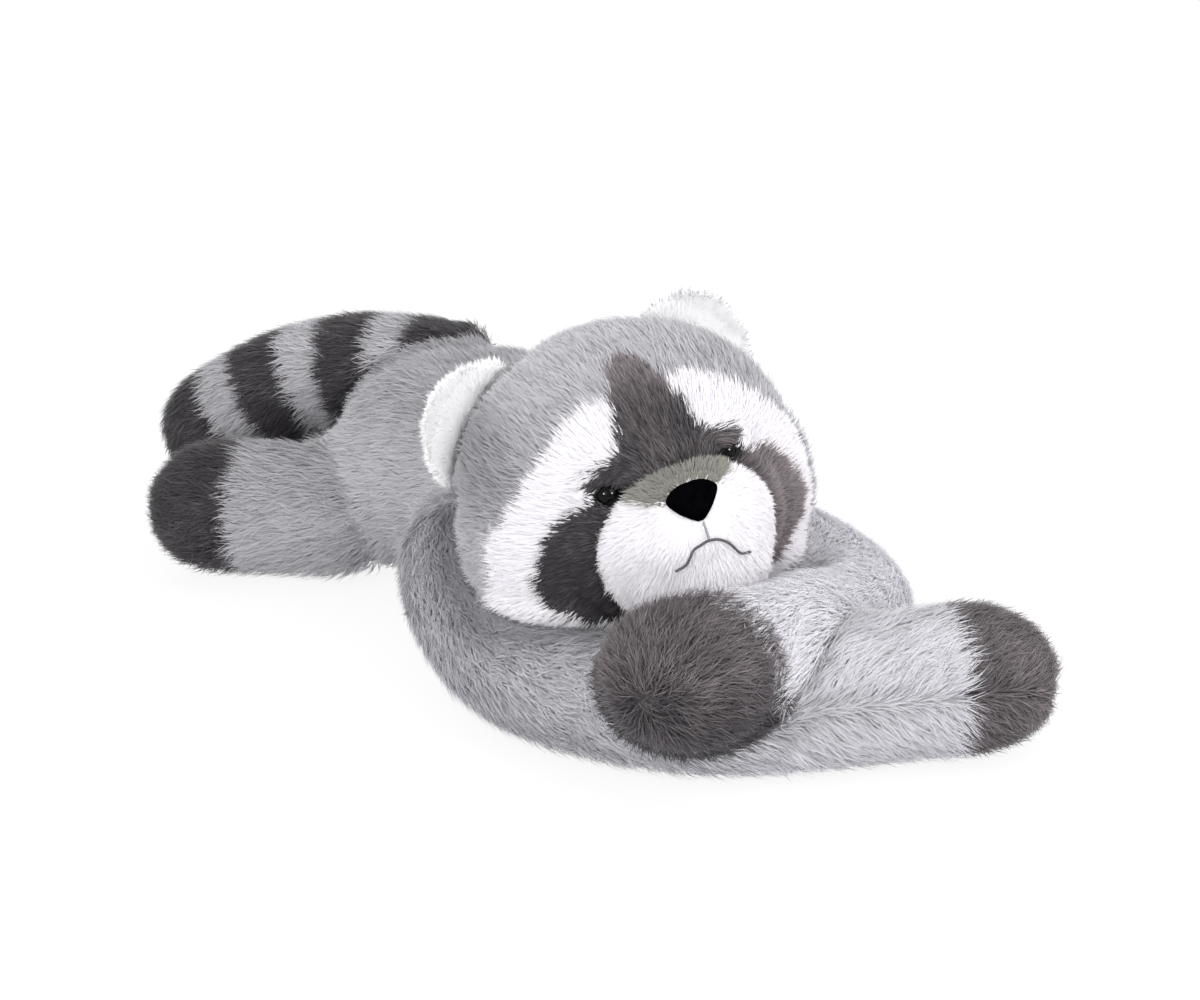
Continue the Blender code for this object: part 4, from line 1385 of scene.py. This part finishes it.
@dataclass
class Ear:
    """A cupped ear, grey behind and white in front."""

    side: str
    frame: HeadFrame = field(default_factory=HeadFrame)
    stuffing: Stuffing = Stuffing(cloth_depth=3.2 * MM, weave=3 * MM, smoothing=3, swell=0.8 * MM, fill=0.3)
    grey: Coat = Coat(Pile.SLEEVE.value, length=6 * MM, density=1_500_000, width=0.6 * MM, lift=16, mess=0.3,
                      locks=0.2, seed=61)
    # the lining's white pile is the brighter copy: painted light on the ear
    white: Coat = Coat(Pile.LIT_WHITE.value, length=7 * MM, density=1_700_000, width=0.6 * MM, lift=13, mess=0.3,
                       locks=0.2, seed=62)

    def build(self, shop: Workshop) -> None:
        """Make the ear's cloth and its two piles."""
        nodes = (f"{self.side}_ear", f"{self.side}_ear_lining")
        cloth = shop.cover(f"{self.side}_ear_cloth", nodes, self.stuffing)
        groom = Groomer(shop, cloth, nodes)
        middle = groom.points.mean(0)
        root = middle - 0.9 * unit(middle - np.array(self.frame.centre)) * 45 * MM
        groom.comb = unit(groom.points - root)
        groom.thick = np.maximum(groom.thick, 1.0)
        facing = groom.normals @ (np.array((-0.33, 0.88, 0.3)) @ self.frame.axes)
        lining = smooth_step(facing, *((0.1, 0.35) if self.side == "left" else (-0.45, -0.15)))
        groom.bias = ((0.35 if self.side == "left" else 0.1)
                      + 0.45 * (1 - smooth_step(self.frame.told(groom.normals)[1], -0.8, -0.45)))
        groom.pile = 0.5 + 0.5 * smooth_step(np.linalg.norm(groom.points - root, axis=1), 12 * MM, 30 * MM)
        groom.grow(nodes[0] + "_pile", self.grey, "grey_plush", 1 - lining)
        groom.grow(nodes[1] + "_pile", self.white, "white_plush", lining, nodes[1:])
        groom.close(Cloth.WHITE, "white_plush", nodes[:1], self.stuffing.fill)


@dataclass
class Nose:
    """The velvet nose: a rounded triangle, widest above."""

    frame: HeadFrame = field(default_factory=HeadFrame)
    width: float = 0.034
    height: float = 0.027
    depth: float = 0.022
    rise: float = 0.028

    def build(self, shop: Workshop) -> None:
        """Make the nose and its flocked finish."""
        shell = bmesh.new()
        bmesh.ops.create_uvsphere(shell, u_segments=48, v_segments=32, radius=1.0)
        middle = self.frame.on_muzzle(0.0, self.rise)
        for vertex in shell.verts:
            x, y, z = vertex.co
            boxy = 1 + 0.14 * (abs(x * z) ** 0.8) * (z > 0)
            narrow = 1.09 - 0.5 * max(0.0, 0.4 - z)
            dent = -0.05 * math.exp(-(x / 0.16) ** 2) * max(0.0, -z)
            vertex.co = self.frame.world(middle, x * boxy * narrow * self.width / 2,
                                         (y * -1 + dent) * self.depth / 2, z * boxy * self.height / 2)
        bmesh.ops.recalc_face_normals(shell, faces=shell.faces)
        piece = smooth_object("nose_pad", shell)
        shop.finish_piece(piece, shop.wardrobe.get(FlockedVelvet()), "black_velvet", ("nose",))


@dataclass
class Eyes:
    """Two polished beads, set into the face.

    Attributes:
        frame: the head's frame.
        proud: how far the left and the right bead's middle stands out, in its own diameters.
    """

    frame: HeadFrame = field(default_factory=HeadFrame)
    proud: tuple[float, float] = (-0.3, -0.05)

    def build(self, shop: Workshop) -> None:
        """Make both beads; the left one lies deeper, where the face is turned away and sunk in."""
        frame = self.frame
        for side, sign, proud in (("left", 1, self.proud[0]), ("right", -1, self.proud[1])):
            middle = frame.on_face(sign * frame.eye_spacing / 2, frame.eye_rise, frame.eye_size * proud)
            shell = bmesh.new()
            bmesh.ops.create_uvsphere(shell, u_segments=40, v_segments=24, radius=frame.eye_size / 2)
            bmesh.ops.translate(shell, verts=shell.verts, vec=middle)
            piece = smooth_object(side + "_eye_bead", shell)
            shop.finish_piece(piece, shop.wardrobe.get(MouldedBead()), "black_plastic", (side + "_eye",))


@dataclass
class Stitching:
    """The sewn mouth and the groove above it: short slanting stitches along a line.

    Attributes:
        frame: the head's frame.
        thread, stitch: a stitch's thickness and length.
        above: how far the stitches lie over the muzzle's solid.
        mouth, groove: the lines over the muzzle, in millimetres to its left and up.
    """

    frame: HeadFrame = field(default_factory=HeadFrame)
    thread: float = 1.9 * MM
    stitch: float = 3.4 * MM
    above: float = 2.2 * MM
    mouth: tuple[tuple[float, float], ...] = ((-25, -11), (-18, -9), (-12, -2), (-6, 0), (0, 1), (7, -1),
                                              (13, -6), (19, -14), (26, -16))
    groove: tuple[tuple[float, float], ...] = ((0, 12), (0, 8), (0, 3.5))

    def build(self, shop: Workshop) -> None:
        """Sew both lines."""
        lines = (("mouth_stitches", self.mouth, "mouth_stitch", "black_thread",
                  SpunThread("spun_thread_black", "#33363a", "#131416")),
                 ("philtrum_stitches", self.groove, "philtrum_stitch", "grey_thread",
                  SpunThread("spun_thread_grey", "#8f8f92", "#6c6c70")))
        tree, sockets = self.stitch_tree()
        for name, places, node, slot, finish in lines:
            base = self.line(name + "_line", places)
            growth = base.modifiers.new("stitches", "NODES")
            growth.node_group = tree
            growth[sockets["Thickness"]] = self.thread
            growth[sockets["Stitch Length"]] = self.stitch
            growth[sockets["Thread"]] = shop.wardrobe.get(finish)
            piece = baked(base, name)
            piece.data.shade_smooth()
            shop.finish_piece(piece, None, slot, (node,))

    def line(self, name: str, places: tuple[tuple[float, float], ...]) -> bpy.types.Object:
        """Lay a line of edges over the muzzle through the given places in millimetres."""
        route = Route(tuple((u * MM, v * MM, 0.0) for u, v in places), steps=8)
        points = [self.frame.on_muzzle(u, v, self.above) for u, v, _ in route.points]
        mesh = bpy.data.meshes.new(name)
        points = self.frame.hung(np.array(points)).tolist()
        mesh.from_pydata(points, [(k, k + 1) for k in range(len(points) - 1)], [])
        return linked(name, mesh)

    @staticmethod
    def stitch_tree() -> tuple[bpy.types.NodeTree, dict[str, str]]:
        """Build the tree that lays stitches along a line, and return it with its inputs' identifiers."""
        tree, entry, sockets = new_group("stitches_on_line", (
            ("Thickness", "Float"), ("Stitch Length", "Float"), ("Thread", "Material")))
        thickness, pitch = outlet(entry, "Thickness"), outlet(entry, "Stitch Length")
        path = add_node(tree, "GeometryNodeMeshToCurve", {"Mesh": outlet(entry, "Geometry")})
        spaced = add_node(tree, "ShaderNodeMath", {0: pitch, 1: 0.62}, operation="MULTIPLY")
        marks = add_node(tree, "GeometryNodeCurveToPoints", {"Curve": path, "Length": spaced}, mode="LENGTH")
        ball = add_node(tree, "GeometryNodeMeshUVSphere", {"Segments": 10, "Rings": 8, "Radius": 0.5})
        slant = add_node(tree, "FunctionNodeRotateRotation",
                         {"Rotation": outlet(marks, "Rotation"), "Rotate By": (0.0, 0.22, 0.0)},
                         rotation_space="LOCAL")
        size = add_node(tree, "ShaderNodeCombineXYZ", {"X": thickness, "Y": thickness, "Z": pitch})
        laid = add_node(tree, "GeometryNodeInstanceOnPoints",
                        {"Points": outlet(marks, "Points"), "Instance": outlet(ball, "Mesh"),
                         "Rotation": slant, "Scale": size})
        real = add_node(tree, "GeometryNodeRealizeInstances", {"Geometry": laid})
        dressed = add_node(tree, "GeometryNodeSetMaterial",
                           {"Geometry": real, "Material": outlet(entry, "Thread")})
        add_node(tree, "NodeGroupOutput", {"Geometry": dressed})
        return tree, sockets


@dataclass
class Studio:
    """A pale floor, soft lamps and the camera.

    Attributes:
        camera_place: where the camera stands.
        elevation: how far it looks down, in degrees.
        azimuth: where it looks, turned from +Y, in degrees.
        lens: its focal length over a 36 mm wide sensor.
        floor_colour: the floor's colour beside the toy's shadow.
        WHITE: the light's colour.
        AIM: the place on the toy that the lamps face.
        LAMPS: the soft lamps: each one's name, place, size in metres and power in watts.
        GLINTS: the same for small lamps that show only in gloss, such as the beads'.
    """

    WHITE: ClassVar[tuple[float, float, float, float]] = (1.0, 1.0, 1.0, 1.0)
    AIM: ClassVar[tuple[float, float, float]] = (0.0, -0.1, 0.08)
    LAMPS: ClassVar[tuple[tuple, ...]] = (("key_lamp", (0.5, -2.0, 1.9), 1.8, 41.0),
                                          ("fill_lamp", (-2.2, -0.8, 1.5), 1.6, 30.0),
                                          ("back_lamp", (0.4, 1.7, 1.9), 1.8, 14.0))
    GLINTS: ClassVar[tuple[tuple, ...]] = (("left_glint", (-2.1, -0.3, 1.0), 0.45, 70.0),
                                           ("right_glint", (0.1, -2.2, 1.1), 0.45, 70.0))

    camera_place: tuple[float, float, float] = (-1.1809, -1.2869, 0.774)
    elevation: float = 22.0
    azimuth: float = -45.0
    lens: float = 75.6
    floor_colour: str = "#f4f4f6"

    def build(self) -> None:
        """Set up the floor, the light and the camera."""
        self.add_camera()
        self.add_floor()
        self.add_world()
        for lamp in self.LAMPS:
            self.add_lamp(*lamp)
        for glint in self.GLINTS:
            self.add_lamp(*glint).visible_diffuse = False
        bpy.context.scene.view_settings.view_transform = "Standard"

    def add_camera(self) -> None:
        """Stand the camera at the toy's front right, looking down at it."""
        data = bpy.data.cameras.new("camera")
        data.sensor_width = 36.0
        data.lens = self.lens
        camera = linked("camera", data)
        camera.location = self.camera_place
        camera.rotation_euler = (math.radians(90 - self.elevation), 0.0, math.radians(self.azimuth))
        bpy.context.scene.camera = camera

    def add_floor(self) -> None:
        """Lay a wide pale floor, white to the camera but for the toy's shadow."""
        mesh = bpy.data.meshes.new("floor")
        reach = 12.0
        corners = [(x * reach, y * reach, 0.0) for x, y in ((-1, -1), (1, -1), (1, 1), (-1, 1))]
        mesh.from_pydata(corners, [], [(0, 1, 2, 3)])
        floor = linked("floor", mesh)
        made, tree, shader = new_material("painted_board_white")
        feed(tree, shader, {"Base Color": linear(self.floor_colour), "Roughness": 0.9})
        glow = add_node(tree, "ShaderNodeEmission", {"Color": self.WHITE, "Strength": 1.0})
        sight = add_node(tree, "ShaderNodeLightPath")
        share = add_node(tree, "ShaderNodeMath", {0: outlet(sight, "Is Camera Ray"), 1: 0.9},
                         operation="MULTIPLY")
        mixed = add_node(tree, "ShaderNodeMixShader", {0: share, 1: shader, 2: glow})
        feed(tree, tree.nodes["Material Output"], {"Surface": mixed})
        mesh.materials.append(made)

    def add_world(self) -> None:
        """Light the room evenly, with a white background to the camera."""
        world = bpy.data.worlds.new("room")
        bpy.context.scene.world = world
        world.use_nodes = True
        tree = world.node_tree
        light = tree.nodes["Background"]
        feed(tree, light, {"Color": self.WHITE, "Strength": 1.0})
        backdrop = add_node(tree, "ShaderNodeBackground", {"Color": self.WHITE, "Strength": 1.0})
        sight = outlet(add_node(tree, "ShaderNodeLightPath"), "Is Camera Ray")
        mixed = add_node(tree, "ShaderNodeMixShader", {0: sight, 1: light, 2: backdrop})
        feed(tree, tree.nodes["World Output"], {"Surface": mixed})

    @staticmethod
    def add_lamp(name: str, place: tuple[float, float, float], size: float,
                 power: float) -> bpy.types.Object:
        """Hang a square soft lamp that faces the toy, and return it."""
        data = bpy.data.lights.new(name, "AREA")
        data.size = size
        data.energy = power
        lamp = linked(name, data)
        lamp.location = place
        lamp.rotation_euler = (Vector(Studio.AIM) - Vector(place)).to_track_quat("-Z", "Y").to_euler()
        return lamp


def limbs() -> list[Limb]:
    """Return the four limbs of the toy."""
    grey = Coat(Pile.GREY.value, seed=21)
    pale = Coat(Pile.SLEEVE.value, seed=22)
    sleek = Coat(Pile.SLEEVE.value, width=0.62 * MM, density=880_000, lift=17, mess=0.22, locks=0.22, seed=24)
    dark = Coat(Pile.DARK.value, length=17 * MM, density=820_000, mess=0.6, seed=23)
    seam = ((-0.108, -0.366, 0.049), (-0.078, -0.390, 0.058), (-0.051, -0.413, 0.060),
            (-0.026, -0.430, 0.062), (0.005, -0.451, 0.062), (0.029, -0.463, 0.060), (0.062, -0.466, 0.05))
    left_arm = ((0.055, -0.03, 0.08), (0.105, -0.105, 0.056), (0.116, -0.19, 0.042), (0.086, -0.266, 0.042),
                (0.005, -0.296, 0.064), (-0.08, -0.31, 0.084), (-0.192, -0.332, 0.077))
    right_arm = ((-0.055, -0.03, 0.08), (-0.108, -0.08, 0.062), (-0.142, -0.17, 0.042),
                 (-0.134, -0.258, 0.042), (-0.084, -0.321, 0.035), (-0.021, -0.375, 0.05),
                 (0.05, -0.419, 0.05), (0.088, -0.442, 0.05))
    # shade paints the shadow of the muzzle, cheeks and head on each arm's pile
    made = [Limb("left_arm", ("left_arm", "left_forepaw"), left_arm, sleek, dark, whorl=1.0,
                 drape=(-0.55, 0.45, -0.35), tones=(0.05, -0.08, 0.22),
                 under=("muzzle", "left_mask", "left_cheek"), dent_depth=14 * MM, shade=0.1),
            Limb("right_arm", ("right_arm", "right_forepaw"), right_arm, pale, dark, seam=seam,
                 tones=(0.47, 0.22, 0.26), under=("muzzle", "right_mask", "right_cheek", "head"), shade=0.7)]
    for side, sign in (("left", 1), ("right", -1)):
        leg = ((sign * 0.04, 0.06, 0.053), (sign * 0.1033, 0.1355, 0.053), (sign * 0.1666, 0.2109, 0.053))
        made.append(Limb(side + "_leg", (side + "_hind_leg", side + "_hind_paw"), leg, grey, dark,
                         tones=(0.0, 0.0, -0.17)))
    return made


def main() -> None:
    """Build the toy part by part, then the room around it."""
    logging.basicConfig(level=logging.INFO, format="%(message)s")
    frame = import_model()
    shop = Workshop(dict(frame["nodes"]))
    Torso().build(shop)
    for limb in limbs():
        limb.build(shop)
    Tail().build(shop)
    Head().build(shop)
    Muzzle().build(shop)
    for side in ("left", "right"):
        Ear(side).build(shop)
    Nose().build(shop)
    Eyes().build(shop)
    Stitching().build(shop)
    discard(shop.pile.strand)
    Studio().build()
    LOG.info("all pieces: %d triangles", shop.faces)


if __name__ == "__main__":
    main()
